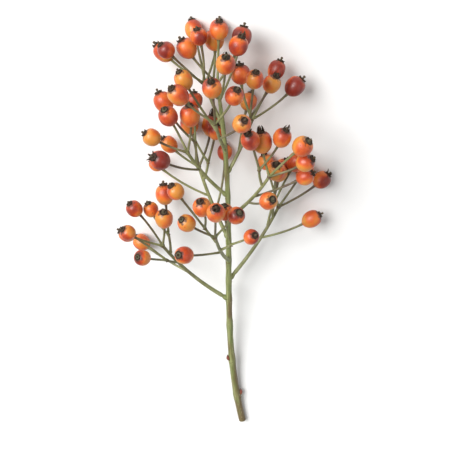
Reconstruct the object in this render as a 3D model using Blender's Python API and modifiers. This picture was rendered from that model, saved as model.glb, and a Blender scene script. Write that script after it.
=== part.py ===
"""A rose hip sprig: one cut stem with its side sprays of small round hips, laid on a table.

The stem lies along +Y with its top at +Y, the table is z = 0, and the side that faces a viewer is +Z.
Each side spray is one solid: its branch, its stalks and its hips, fused as they grow.
"""

import math
import random
from dataclasses import dataclass, field

import bmesh
import bpy
import numpy as np
from mathutils import Matrix, Vector

SEED = 8
COLLECTION = "rose_hip_sprig"

# Main stem, in metres: the four control points of its course, and its radius at the cut and at the top.
STEM_COURSE = (
    Vector((0.010, -0.150, 0.0020)),
    Vector((-0.006, -0.075, 0.0034)),
    Vector((0.006, 0.005, 0.0270)),
    Vector((-0.004, 0.082, 0.0290)),
)
STEM_RADII = (0.0023, 0.0011)
STEM_STEPS = 26
STEM_SIDES = 8

# Buds in the axils of the stripped leaves, below the first spray: shares of the stem's course.
BUD_PLACES = (0.09, 0.22, 0.34)
BUD_REACH = 0.0022
BUD_RADIUS = 0.0018
BUD_TIP_SHARE = 0.12
BUD_DIVERGENCE = math.radians(28)
BUD_SIDES = 6

# Side sprays, from the lowest to the highest.
SPRAY_HIPS = (8, 8, 8, 7, 7, 6, 6, 5, 4)
SPRAY_PLACES = (0.43, 0.95)
SPRAY_LENGTHS = (0.056, 0.022)
SPRAY_DIVERGENCE = (math.radians(50), math.radians(38))
SPRAY_ROOT_RADII = (0.0013, 0.0010)
SPRAY_TIP_RADIUS = 0.0009
LEAF_TURN = math.radians(144)
FIRST_BEARING = math.radians(172)
DEPTH_SHARE = 0.72
COLLAR_LENGTH = 0.0018
COLLAR_SHARES = (0.85, 1.2)
JOINT_GAP = 0.0003

# The top spray carries on from the stem.
TOP_HIPS = 7
TOP_LENGTH = 0.014

# How the hips of a spray are shared out among its forks, the one at its end first.
FORKS = {
    4: (3, 1),
    5: (3, 1, 1),
    6: (3, 2, 1),
    7: (3, 2, 1, 1),
    8: (3, 2, 2, 1),
}
FORK_SPACING = 0.0085
FORK_SPREAD = 0.2
LOWEST_FORK = 0.25
FORK_DIVERGENCE = math.radians(46)
SHOOT_STEP = 0.007
STALK_LENGTH = 0.013
STALK_RADIUS = 0.0008
STALK_SIDES = 6
PEDICEL_LENGTH = 0.0215
LONE_PEDICEL_LENGTH = 0.0275
PEDICEL_RADIUS = 0.00068
PEDICEL_FLARE = 1.25
PEDICEL_STEPS = 3
PEDICEL_SPREAD = math.radians(42)
FIRST_SPREAD_SHARE = 0.2
KNOT_SHARE = 1.35
UPWARD_CURVE = 0.4
LENGTH_SPREAD = 0.2
TURN_SPREAD = math.radians(24)

# One hip, with its half width as the unit: the outline runs down from the style tip to the base.
HIP_RADII = (0.0042, 0.0058, 0.0052)
HIP_OUTLINE = (
    (0.00, 1.52),
    (0.15, 1.10),
    (0.43, 1.14),
    (0.42, 1.00),
    (0.69, 0.80),
    (1.00, 0.32),
    (1.00, -0.34),
    (0.62, -0.88),
    (0.00, -1.10),
)
HIP_SIDES = 8
HIP_BASE = 0.92
CALYX_PLACE = 1.18

# Room between hips, how flat the lowest ones sit on the table, and how the hips are moved there.
HIP_BULK = 1.10
CALYX_BULK = 0.42
CLEARANCE = 0.0007
FLAT_DEPTH = 0.0003
LOWEST_SHOOT = 0.0055
SAG_REACH = 0.0045
ROUNDS = 240
ROUND_SHARE = 0.6
HOME_PULL = 0.03
POSTS_PER_POINT = 4
LINE_STEPS = 7

# Edges sharper than this aren't smoothed.
SHARP_ANGLE = math.radians(50)

STEM_COLOUR = (0.16, 0.20, 0.06, 1.0)
HIP_COLOUR = (0.78, 0.20, 0.03, 1.0)


@dataclass
class Shoot:
    """A branch or stalk: the points of its centre line, and its radius at the root and at the tip."""

    points: list
    radii: tuple
    spray: int

    def at(self, share):
        """The point this share of the way along."""
        place = share * (len(self.points) - 1)
        index = min(int(place), len(self.points) - 2)
        return self.points[index].lerp(self.points[index + 1], place - index)

    def heading(self, share):
        """The direction of growth this share of the way along."""
        step = 0.5 / (len(self.points) - 1)
        return (self.at(min(share + step, 1)) - self.at(max(share - step, 0))).normalized()


@dataclass
class Hip:
    """A hip and its pedicel: where the pedicel starts and heads, and the hip's centre and half width."""

    root: Vector
    start: Vector
    centre: Vector
    radius: float
    spray: int

    def bend(self):
        """The control point of the pedicel's curve."""
        reach = (self.centre - self.root).length
        point = self.root + self.start * reach * 0.5
        point.z = max(point.z, 2 * PEDICEL_RADIUS)
        return point

    def axis(self):
        """The way the calyx points."""
        return (self.centre - self.bend()).normalized()

    def frame(self):
        """The hip's place and turn: its calyx along +Z, and its side nearest the table along +X."""
        axis = self.axis()
        across = axis.cross(Vector((0, 0, 1))).normalized()
        down = axis.cross(across)
        turn = Matrix((down, axis.cross(down), axis)).transposed().to_4x4()
        return Matrix.Translation(self.centre) @ turn @ Matrix.Scale(self.radius, 4)

    def pedicel(self, steps):
        """The pedicel's centre line, which ends inside the hip."""
        end = self.centre - self.axis() * self.radius * HIP_BASE
        return curve_points(self.root, self.bend(), end, steps)


@dataclass
class Sprig:
    """All that grows: the stem, the shoots of the sprays, and the hips."""

    stem: Shoot
    collars: list = field(default_factory=list)
    knots: list = field(default_factory=list)
    shoots: list = field(default_factory=list)
    hips: list = field(default_factory=list)


def curve_points(start, bend, end, steps):
    """Points along the quadratic curve from start to end that leaves towards bend."""
    points = []
    for step in range(steps + 1):
        t = step / steps
        points.append(start * (1 - t) ** 2 + bend * 2 * t * (1 - t) + end * t * t)
    return points


def stem_points():
    """Points along the stem's cubic course, from the cut to the top."""
    a, b, c, d = STEM_COURSE
    points = []
    for step in range(STEM_STEPS + 1):
        t = step / STEM_STEPS
        u = 1 - t
        points.append(a * u**3 + b * 3 * t * u * u + c * 3 * t * t * u + d * t**3)
    return points


def between(ends, share):
    """The value this share of the way from the first end to the second."""
    return ends[0] + (ends[1] - ends[0]) * share


def turned_from(heading, bearing, divergence):
    """A direction that leaves heading by divergence: bearing 0 is to the right, 90 degrees is up."""
    right = heading.cross(Vector((0, 0, 1))).normalized()
    up = right.cross(heading).normalized()
    side = right * math.cos(bearing) + up * math.sin(bearing) * DEPTH_SHARE
    return (heading * math.cos(divergence) + side.normalized() * math.sin(divergence)).normalized()


def kept_off_table(root, direction, length):
    """The direction, levelled where a shoot of this length would reach the table."""
    least = (LOWEST_SHOOT - root.z) / length
    if direction.z >= least:
        return direction
    level = Vector((direction.x, direction.y, 0)).normalized()
    rise = max(-0.9, min(0.9, least))
    return (level * math.sqrt(1 - rise * rise) + Vector((0, 0, rise))).normalized()


def grow_shoot(root, direction, length, towards, radii, spray):
    """A shoot that leaves its root along direction and curves back towards its parent's heading."""
    direction = kept_off_table(root, direction, length)
    final = kept_off_table(root, direction.lerp(towards, UPWARD_CURVE).normalized(), length)
    bend = root + direction * length * 0.5
    steps = max(3, round(length / SHOOT_STEP))
    return Shoot(curve_points(root, bend, bend + final * length * 0.5, steps), radii, spray)


def grow_hip(draw, root, direction, length, towards, spray):
    """A hip at the end of its pedicel."""
    length *= 1 + draw.uniform(-LENGTH_SPREAD, LENGTH_SPREAD)
    radius = draw.triangular(*HIP_RADII)
    direction = kept_off_table(root, direction, length)
    final = kept_off_table(root, direction.lerp(towards, UPWARD_CURVE).normalized(), length)
    centre = root + (direction + final) * (length + radius) * 0.5
    return Hip(root, direction, centre, radius, spray)


def grow_fork(draw, root, heading, bearing, count, spray):
    """The hips of one fork: the first goes nearly straight on, and the others leave to either side."""
    hips = []
    for number in range(count):
        turn = bearing + number * math.pi + draw.uniform(-TURN_SPREAD, TURN_SPREAD)
        spread = PEDICEL_SPREAD * (FIRST_SPREAD_SHARE if number == 0 else 1)
        direction = turned_from(heading, turn, spread)
        hips.append(grow_hip(draw, root, direction, PEDICEL_LENGTH, heading, spray))
    return hips


def grow_spray(draw, sprig, axis, count, bearing):
    """Adds the forks and lone hips of a spray whose branch is axis."""
    spray = axis.spray
    sprig.shoots.append(axis)
    sprig.knots.append((axis.points[-1], SPRAY_TIP_RADIUS * KNOT_SHARE, spray))
    length = sum((b - a).length for a, b in zip(axis.points, axis.points[1:]))
    for place, hips_here in enumerate(FORKS[count]):
        if place == 0:
            sprig.hips += grow_fork(draw, axis.points[-1], axis.heading(1), 0, hips_here, spray)
            continue
        spacing = FORK_SPACING * (1 + draw.uniform(-FORK_SPREAD, FORK_SPREAD))
        share = max(LOWEST_FORK, 1 - place * spacing / length)
        root, heading = axis.at(share), axis.heading(share)
        turn = bearing + place * LEAF_TURN + draw.uniform(-TURN_SPREAD, TURN_SPREAD)
        direction = turned_from(heading, turn, FORK_DIVERGENCE)
        if hips_here == 1:
            sprig.hips.append(
                grow_hip(draw, root, direction, LONE_PEDICEL_LENGTH, heading, spray)
            )
            continue
        radii = (STALK_RADIUS, PEDICEL_RADIUS)
        stalk = grow_shoot(root, direction, STALK_LENGTH, heading, radii, spray)
        sprig.shoots.append(stalk)
        sprig.knots.append((stalk.points[-1], STALK_RADIUS * KNOT_SHARE, spray))
        sprig.hips += grow_fork(draw, stalk.points[-1], stalk.heading(1), turn, hips_here, spray)


def grow_sprig():
    """The whole sprig by its rule of growth, with the hips settled clear of each other."""
    draw = random.Random(SEED)
    sprig = Sprig(Shoot(stem_points(), STEM_RADII, -1))
    for number, count in enumerate(SPRAY_HIPS):
        share = number / (len(SPRAY_HIPS) - 1)
        place = between(SPRAY_PLACES, share)
        heading = sprig.stem.heading(place)
        bearing = FIRST_BEARING + number * LEAF_TURN
        divergence = between(SPRAY_DIVERGENCE, share)
        length = between(SPRAY_LENGTHS, share)
        base = sprig.stem.at(place)
        direction = turned_from(heading, bearing, divergence)
        direction = kept_off_table(base, direction, length)
        reach = between(STEM_RADII, place) / math.sin(divergence) + COLLAR_LENGTH
        thickness = between(SPRAY_ROOT_RADII, share)
        collar_radii = (between(STEM_RADII, place) * COLLAR_SHARES[0], thickness * COLLAR_SHARES[1])
        sprig.collars.append(Shoot([base, base + direction * reach], collar_radii, -1))
        root = base + direction * (reach + JOINT_GAP)
        radii = (thickness, SPRAY_TIP_RADIUS)
        axis = grow_shoot(root, direction, length, heading, radii, number)
        grow_spray(draw, sprig, axis, count, bearing)
    top, heading = sprig.stem.points[-1], sprig.stem.heading(1)
    root = top + heading * JOINT_GAP
    radii = (STEM_RADII[1], SPRAY_TIP_RADIUS)
    axis = grow_shoot(root, heading, TOP_LENGTH, heading, radii, len(SPRAY_HIPS))
    grow_spray(draw, sprig, axis, TOP_HIPS, 0)
    settle(sprig)
    return sprig


def pushes(points, sizes, others, other_sizes, same):
    """How far each point has to move to clear the others, and the reverse push on those."""
    apart = points[:, None] - others[None]
    distance = np.linalg.norm(apart, axis=2) + 1e-9
    over = np.maximum(sizes[:, None] + other_sizes[None] + CLEARANCE - distance, 0)
    over[same] = 0
    step = apart / distance[:, :, None] * over[:, :, None]
    return step.sum(axis=1), -step.sum(axis=0)


def settle(sprig):
    """Moves the hips clear of each other, of the branches, of other pedicels and of the table."""
    hips = sprig.hips
    count = len(hips)
    radii = np.array([hip.radius for hip in hips])
    home = np.array([hip.centre for hip in hips])
    table = radii - FLAT_DEPTH
    home[:, 2] = np.where(home[:, 2] < table + SAG_REACH, table, home[:, 2])
    centres = home.copy()
    posts, post_sizes = [], []
    for shoot in [sprig.stem, *sprig.shoots]:
        count_here = POSTS_PER_POINT * len(shoot.points)
        for index in range(count_here):
            share = index / (count_here - 1)
            posts.append(shoot.at(share))
            post_sizes.append(between(shoot.radii, share))
    posts, post_sizes = np.array(posts), np.array(post_sizes)
    owner = np.tile(np.arange(count), 2)
    sizes = np.concatenate([radii * HIP_BULK, radii * CALYX_BULK])
    line_owner = np.repeat(np.arange(count), LINE_STEPS - 1)
    line_sizes = np.full(len(line_owner), PEDICEL_RADIUS)
    line_share = np.tile(np.arange(1, LINE_STEPS) / LINE_STEPS, count)[:, None]
    for _ in range(ROUNDS):
        calyces = np.array([hip.centre + hip.axis() * hip.radius * CALYX_PLACE for hip in hips])
        lines = np.array([point for hip in hips for point in hip.pedicel(LINE_STEPS)[1:-1]])
        spheres = np.concatenate([centres, calyces])
        move = np.zeros((count, 3))
        same = owner[:, None] == owner[None]
        np.add.at(move, owner, 0.5 * pushes(spheres, sizes, spheres, sizes, same)[0])
        none = np.zeros((len(owner), len(posts)), bool)
        np.add.at(move, owner, pushes(spheres, sizes, posts, post_sizes, none)[0])
        same = owner[:, None] == line_owner[None]
        ahead, back = pushes(spheres, sizes, lines, line_sizes, same)
        np.add.at(move, owner, 0.5 * ahead)
        np.add.at(move, line_owner, 0.5 * back * line_share)
        centres += ROUND_SHARE * move + HOME_PULL * (home - centres)
        centres[:, 2] = np.where(centres[:, 2] < table + CLEARANCE, table, centres[:, 2])
        for hip, centre in zip(hips, centres):
            hip.centre = Vector(centre)


def middle_of(sprig):
    """The point of the table under the middle of the sprig's outline."""
    reach = [(hip.centre, hip.radius) for hip in sprig.hips]
    reach.append((sprig.stem.points[0], 0))
    low = [min(point[i] - size for point, size in reach) for i in range(2)]
    high = [max(point[i] + size for point, size in reach) for i in range(2)]
    return Vector(((low[0] + high[0]) / 2, (low[1] + high[1]) / 2, 0))


def clear_scene():
    """Removes every object of the startup scene."""
    for old in list(bpy.data.objects):
        bpy.data.objects.remove(old, do_unlink=True)


def make_material(name, colour, roughness):
    """A plain Principled material."""
    material = bpy.data.materials.new(name)
    material.use_nodes = True
    shader = material.node_tree.nodes["Principled BSDF"]
    shader.inputs["Base Color"].default_value = colour
    shader.inputs["Roughness"].default_value = roughness
    shader.inputs["Metallic"].default_value = 0.0
    return material


def as_mesh_object(source, name):
    """Turns an object into a plain mesh object of its evaluated shape, welded, and removes the object."""
    graph = bpy.context.evaluated_depsgraph_get()
    mesh = bpy.data.meshes.new_from_object(source.evaluated_get(graph))
    made = bpy.data.objects.new(name, mesh)
    made.matrix_world = source.matrix_world.copy()
    shape = bmesh.new()
    shape.from_mesh(mesh)
    bmesh.ops.remove_doubles(shape, verts=shape.verts, dist=1e-6)
    bmesh.ops.recalc_face_normals(shape, faces=shape.faces)
    shape.to_mesh(mesh)
    shape.free()
    bpy.data.objects.remove(source)
    return made


def make_tube(name, points, radii, sides):
    """A tapered round tube with filled caps along the points."""
    data = bpy.data.curves.new(name, "CURVE")
    data.dimensions = "3D"
    data.bevel_depth = 1.0
    data.bevel_resolution = (sides - 4) // 2
    data.use_fill_caps = True
    spline = data.splines.new("POLY")
    spline.points.add(len(points) - 1)
    for index, point in enumerate(points):
        spline.points[index].co = (*point, 1)
        spline.points[index].radius = between(radii, index / (len(points) - 1))
    curve = bpy.data.objects.new(name + "_curve", data)
    bpy.context.scene.collection.objects.link(curve)
    bpy.context.view_layer.update()
    return as_mesh_object(curve, name)


def make_hip_mesh():
    """The shared hip: its outline turned round its axis, from the style tip down to the base."""
    outline = bpy.data.meshes.new("hip_outline")
    points = [(x, 0, z) for x, z in HIP_OUTLINE]
    outline.from_pydata(points, [(i, i + 1) for i in range(len(points) - 1)], [])
    turned = bpy.data.objects.new("hip_outline", outline)
    bpy.context.scene.collection.objects.link(turned)
    screw = turned.modifiers.new("Turn", "SCREW")
    screw.steps = screw.render_steps = HIP_SIDES
    screw.use_merge_vertices = True
    screw.merge_threshold = 0.0001
    bpy.context.view_layer.update()
    made = as_mesh_object(turned, "hip")
    mesh = made.data
    bpy.data.objects.remove(made)
    return mesh


def make_cone(name, base, tip, radius, sides):
    """A blunt cone from base to tip."""
    shape = bmesh.new()
    length = (tip - base).length
    bmesh.ops.create_cone(
        shape, cap_ends=True, segments=sides, radius1=radius, radius2=radius * BUD_TIP_SHARE, depth=length
    )
    mesh = bpy.data.meshes.new(name)
    shape.to_mesh(mesh)
    shape.free()
    made = bpy.data.objects.new(name, mesh)
    turn = (tip - base).to_track_quat("Z", "Y").to_matrix().to_4x4()
    made.matrix_world = Matrix.Translation((base + tip) / 2) @ turn
    return made


def make_knot(name, point, radius):
    """A small swelling where a shoot forks."""
    shape = bmesh.new()
    bmesh.ops.create_icosphere(shape, subdivisions=1, radius=radius)
    mesh = bpy.data.meshes.new(name)
    shape.to_mesh(mesh)
    shape.free()
    made = bpy.data.objects.new(name, mesh)
    made.matrix_world = Matrix.Translation(point)
    return made


def place_hip(hip, mesh, name):
    """A hip object at its place on the sprig, with its calyx along the hip's axis."""
    made = bpy.data.objects.new(name, mesh)
    made.matrix_world = hip.frame()
    return made


def fuse(name, base, pieces, material):
    """One solid of base and all the pieces, cut flat where it meets the table."""
    home = bpy.data.collections[COLLECTION]
    joined = bpy.data.collections.new(name + "_pieces")
    bpy.context.scene.collection.children.link(joined)
    home.objects.link(base)
    for piece in pieces:
        joined.objects.link(piece)
    union = base.modifiers.new("Union", "BOOLEAN")
    union.operation = "UNION"
    union.operand_type = "COLLECTION"
    union.collection = joined
    union.solver = "MANIFOLD"
    bpy.context.view_layer.update()
    graph = bpy.context.evaluated_depsgraph_get()
    mesh = bpy.data.meshes.new_from_object(base.evaluated_get(graph))
    mesh.transform(base.matrix_world)
    for piece in [base, *pieces]:
        bpy.data.objects.remove(piece)
    bpy.data.collections.remove(joined)
    cut_at_table(mesh)
    mesh.name = name
    mesh.materials.clear()
    mesh.materials.append(material)
    mesh.shade_smooth()
    mesh.set_sharp_from_angle(angle=SHARP_ANGLE)
    made = bpy.data.objects.new(name, mesh)
    home.objects.link(made)
    return made


def cut_at_table(mesh):
    """Cuts off what lies below z = 0, and closes each cut with a flat face."""
    shape = bmesh.new()
    shape.from_mesh(mesh)
    everything = shape.verts[:] + shape.edges[:] + shape.faces[:]
    cut = bmesh.ops.bisect_plane(
        shape, geom=everything, dist=1e-7, plane_co=(0, 0, 0), plane_no=(0, 0, 1), clear_inner=True
    )
    rim = [piece for piece in cut["geom_cut"] if isinstance(piece, bmesh.types.BMEdge)]
    bmesh.ops.holes_fill(shape, edges=rim)
    shape.to_mesh(mesh)
    shape.free()


def build_stem(sprig, material):
    """The main stem with its cut end, a collar for each side spray, and its buds."""
    base = make_tube("stem_tube", sprig.stem.points, STEM_RADII, STEM_SIDES)
    pieces = []
    for number, collar in enumerate(sprig.collars):
        pieces.append(make_tube(f"collar_{number}", collar.points, collar.radii, STEM_SIDES))
    for number, place in enumerate(BUD_PLACES):
        heading = sprig.stem.heading(place)
        direction = turned_from(heading, number * LEAF_TURN, BUD_DIVERGENCE)
        start = sprig.stem.at(place)
        surface = between(STEM_RADII, place) / math.sin(BUD_DIVERGENCE)
        tip = start + direction * (surface + BUD_REACH)
        pieces.append(make_cone(f"bud_{number}", start, tip, BUD_RADIUS, BUD_SIDES))
    return fuse("main_stem", base, pieces, material)


def build_spray(sprig, spray, name, hip_mesh, material):
    """One spray: its branch and stalks, and each hip on its pedicel."""
    shoots = [shoot for shoot in sprig.shoots if shoot.spray == spray]
    base = make_tube(name + "_branch", shoots[0].points, shoots[0].radii, STALK_SIDES)
    pieces = []
    for number, stalk in enumerate(shoots[1:]):
        pieces.append(make_tube(f"{name}_stalk_{number}", stalk.points, stalk.radii, STALK_SIDES))
    for number, (point, radius, owner) in enumerate(sprig.knots):
        if owner == spray:
            pieces.append(make_knot(f"{name}_knot_{number}", point, radius))
    for number, hip in enumerate(h for h in sprig.hips if h.spray == spray):
        radii = (PEDICEL_RADIUS, PEDICEL_RADIUS * PEDICEL_FLARE)
        line = hip.pedicel(PEDICEL_STEPS)
        pieces.append(make_tube(f"{name}_pedicel_{number}", line, radii, STALK_SIDES))
        pieces.append(place_hip(hip, hip_mesh, f"{name}_hip_{number}"))
    return fuse(name, base, pieces, material)


def main():
    """Grows the sprig and builds its stem and sprays."""
    clear_scene()
    home = bpy.data.collections.new(COLLECTION)
    bpy.context.scene.collection.children.link(home)
    stem_material = make_material("green_stem", STEM_COLOUR, 0.6)
    hip_material = make_material("hip_skin", HIP_COLOUR, 0.35)
    sprig = grow_sprig()
    hip_mesh = make_hip_mesh()
    made = [build_stem(sprig, stem_material)]
    for spray in range(len(SPRAY_HIPS)):
        name = f"side_spray_{spray + 1}"
        made.append(build_spray(sprig, spray, name, hip_mesh, hip_material))
    made.append(build_spray(sprig, len(SPRAY_HIPS), "top_spray", hip_mesh, hip_material))
    middle = middle_of(sprig)
    for node in made:
        node.location = -middle


if __name__ == "__main__":
    main()
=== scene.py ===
"""A cut rose hip sprig, laid on a table: its green cane, its forked stalks and its waxy orange hips.

The sprig grows here by the same rule, draws and named values as its solids do, so every stalk and hip
is where its solid is. The cane lies along +Y with its top at +Y, and the table is z = 0.
"""

import logging
import math
import random
from collections.abc import Callable, Iterable
from dataclasses import dataclass, field
from enum import Enum

import bmesh
import bpy
import numpy as np
from mathutils import Matrix, Vector, noise


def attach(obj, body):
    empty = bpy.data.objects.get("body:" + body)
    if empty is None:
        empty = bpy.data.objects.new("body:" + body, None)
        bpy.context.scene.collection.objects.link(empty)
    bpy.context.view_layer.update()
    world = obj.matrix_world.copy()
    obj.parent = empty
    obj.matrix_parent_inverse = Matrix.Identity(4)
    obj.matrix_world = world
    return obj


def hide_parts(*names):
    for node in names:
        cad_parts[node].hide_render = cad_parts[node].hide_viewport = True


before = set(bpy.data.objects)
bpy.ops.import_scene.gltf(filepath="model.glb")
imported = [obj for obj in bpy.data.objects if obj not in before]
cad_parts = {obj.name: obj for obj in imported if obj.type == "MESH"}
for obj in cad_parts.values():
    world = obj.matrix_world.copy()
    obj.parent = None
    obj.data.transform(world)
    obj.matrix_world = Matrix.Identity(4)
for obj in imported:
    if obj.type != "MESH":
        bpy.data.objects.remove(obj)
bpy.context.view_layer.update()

BODY = "root"
STEM_SLOT = "green_stem"
HIP_SLOT = "hip_skin"
LOG = logging.getLogger("rose_hip_sprig")

Socket = bpy.types.NodeSocket
Pair = tuple[float, float]
Triple = tuple[float, float, float]
Colour = tuple[float, float, float, float]
Profile = tuple[Pair, ...]
Swell = Callable[[float, float, float], Pair]
Dressing = tuple[object, Socket | None]
# The range that a value is in, and after it what that range turns into if it isn't 0 to 1
Band = tuple[float, ...]


@dataclass(frozen=True)
class Growth:
    """The named values that the sprig grows by, in metres and radians, the same as in its solids."""

    seed: int = 8
    stem_course: tuple[Vector, ...] = (
        Vector((0.010, -0.150, 0.0020)),
        Vector((-0.006, -0.075, 0.0034)),
        Vector((0.006, 0.005, 0.0270)),
        Vector((-0.004, 0.082, 0.0290)),
    )
    stem_radii: Pair = (0.0023, 0.0011)
    stem_steps: int = 26
    bud_places: tuple[float, ...] = (0.09, 0.22, 0.34)
    bud_radius: float = 0.0018
    bud_divergence: float = math.radians(28)
    spray_hips: tuple[int, ...] = (8, 8, 8, 7, 7, 6, 6, 5, 4)
    spray_places: Pair = (0.43, 0.95)
    spray_lengths: Pair = (0.056, 0.022)
    spray_divergence: Pair = (math.radians(50), math.radians(38))
    spray_root_radii: Pair = (0.0013, 0.0010)
    spray_tip_radius: float = 0.0009
    leaf_turn: float = math.radians(144)
    first_bearing: float = math.radians(172)
    depth_share: float = 0.72
    collar_length: float = 0.0018
    collar_shares: Pair = (0.85, 1.2)
    joint_gap: float = 0.0003
    top_hips: int = 7
    top_length: float = 0.014
    fork_spacing: float = 0.0085
    fork_spread: float = 0.2
    lowest_fork: float = 0.25
    fork_divergence: float = math.radians(46)
    shoot_step: float = 0.007
    stalk_length: float = 0.013
    stalk_radius: float = 0.0008
    pedicel_length: float = 0.0215
    lone_pedicel_length: float = 0.0275
    pedicel_radius: float = 0.00068
    pedicel_spread: float = math.radians(42)
    first_spread_share: float = 0.2
    knot_share: float = 1.35
    upward_curve: float = 0.4
    steepest: float = 0.9
    length_spread: float = 0.2
    turn_spread: float = math.radians(24)
    hip_radii: Triple = (0.0042, 0.0058, 0.0052)
    hip_base: float = 0.92
    calyx_place: float = 1.18
    hip_bulk: float = 1.10
    calyx_bulk: float = 0.42
    clearance: float = 0.0007
    flat_depth: float = 0.0003
    lowest_shoot: float = 0.0055
    sag_reach: float = 0.0045
    rounds: int = 240
    round_share: float = 0.6
    home_pull: float = 0.03
    posts_per_point: int = 4
    line_steps: int = 7

    @staticmethod
    def forks(count: int) -> tuple[int, ...]:
        """How the hips of a spray are shared out among its forks.

        Args:
            count: How many hips the spray has.

        Returns:
            The hips of each fork, the one at the spray's end first.
        """
        return {
            4: (3, 1),
            5: (3, 1, 1),
            6: (3, 2, 1),
            7: (3, 2, 1, 1),
            8: (3, 2, 2, 1),
        }[count]


def between(ends: Pair, share: float) -> float:
    """The value this share of the way from the first end to the second."""
    return ends[0] + (ends[1] - ends[0]) * share


def fade(distance: float, reach: float) -> float:
    """A share that falls softly from 1 as the distance grows past the reach."""
    return math.exp(-((distance / reach) ** 2))


def line_length(points: list[Vector]) -> float:
    """The length of the line through the points."""
    return sum((b - a).length for a, b in zip(points, points[1:]))


def curve_points(start: Vector, bend: Vector, end: Vector, steps: int) -> list[Vector]:
    """Points along the quadratic curve from start to end.

    Args:
        start: Where the curve starts.
        bend: The control point that it leaves towards.
        end: Where it ends.
        steps: How many stretches it is cut into.

    Returns:
        One point more than there are steps.
    """
    points = []
    for step in range(steps + 1):
        t = step / steps
        points.append(start * (1 - t) ** 2 + bend * 2 * t * (1 - t) + end * t * t)
    return points


@dataclass
class Shoot:
    """A branch or stalk: its centre line, its radius at root and tip, and the spray it belongs to."""

    points: list[Vector]
    radii: Pair
    spray: int

    def at(self, share: float) -> Vector:
        """The point this share of the way along.

        Args:
            share: How far along, from 0 to 1.

        Returns:
            The point.
        """
        place = share * (len(self.points) - 1)
        index = min(int(place), len(self.points) - 2)
        return self.points[index].lerp(self.points[index + 1], place - index)

    def heading(self, share: float) -> Vector:
        """The direction of growth this share of the way along."""
        step = 0.5 / (len(self.points) - 1)
        return (self.at(min(share + step, 1)) - self.at(max(share - step, 0))).normalized()

    def moved(self, shift: Vector) -> "Shoot":
        """The same shoot, moved by shift."""
        return Shoot([point + shift for point in self.points], self.radii, self.spray)


@dataclass
class Hip:
    """A hip and its pedicel: where the pedicel starts and heads, and the hip's centre and half width."""

    growth: Growth
    root: Vector
    start: Vector
    centre: Vector
    radius: float
    spray: int

    def bend(self) -> Vector:
        """The control point of the pedicel's curve.

        Returns:
            The point, kept above the table.
        """
        reach = (self.centre - self.root).length
        point = self.root + self.start * reach * 0.5
        point.z = max(point.z, 2 * self.growth.pedicel_radius)
        return point

    def axis(self) -> Vector:
        """The way the calyx points."""
        return (self.centre - self.bend()).normalized()

    def pedicel(self, steps: int) -> list[Vector]:
        """The pedicel's centre line in this many steps, which ends inside the hip."""
        end = self.centre - self.axis() * self.radius * self.growth.hip_base
        return curve_points(self.root, self.bend(), end, steps)

    def moved(self, shift: Vector) -> "Hip":
        """The same hip, moved by shift, with its pedicel."""
        root, centre = self.root + shift, self.centre + shift
        return Hip(self.growth, root, self.start, centre, self.radius, self.spray)


@dataclass
class Knot:
    """The swelling where a shoot forks."""

    place: Vector
    heading: Vector
    radius: float
    spray: int


@dataclass
class Joint:
    """Where a side spray leaves the cane: the collar that carries it, and the cane's course there."""

    collar: Shoot
    place: float
    outwards: Vector


@dataclass
class Sprig:
    """All that grows: the stem, the collars, the shoots, the knots and the hips."""

    stem: Shoot
    joints: list[Joint] = field(default_factory=list)
    knots: list[Knot] = field(default_factory=list)
    shoots: list[Shoot] = field(default_factory=list)
    hips: list[Hip] = field(default_factory=list)

    def moved(self, shift: Vector) -> "Sprig":
        """The whole sprig, moved by shift.

        Args:
            shift: How far to move it.

        Returns:
            The moved copy.
        """
        joints = [Joint(j.collar.moved(shift), j.place, j.outwards) for j in self.joints]
        knots = [Knot(k.place + shift, k.heading, k.radius, k.spray) for k in self.knots]
        shoots = [shoot.moved(shift) for shoot in self.shoots]
        hips = [hip.moved(shift) for hip in self.hips]
        return Sprig(self.stem.moved(shift), joints, knots, shoots, hips)


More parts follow.
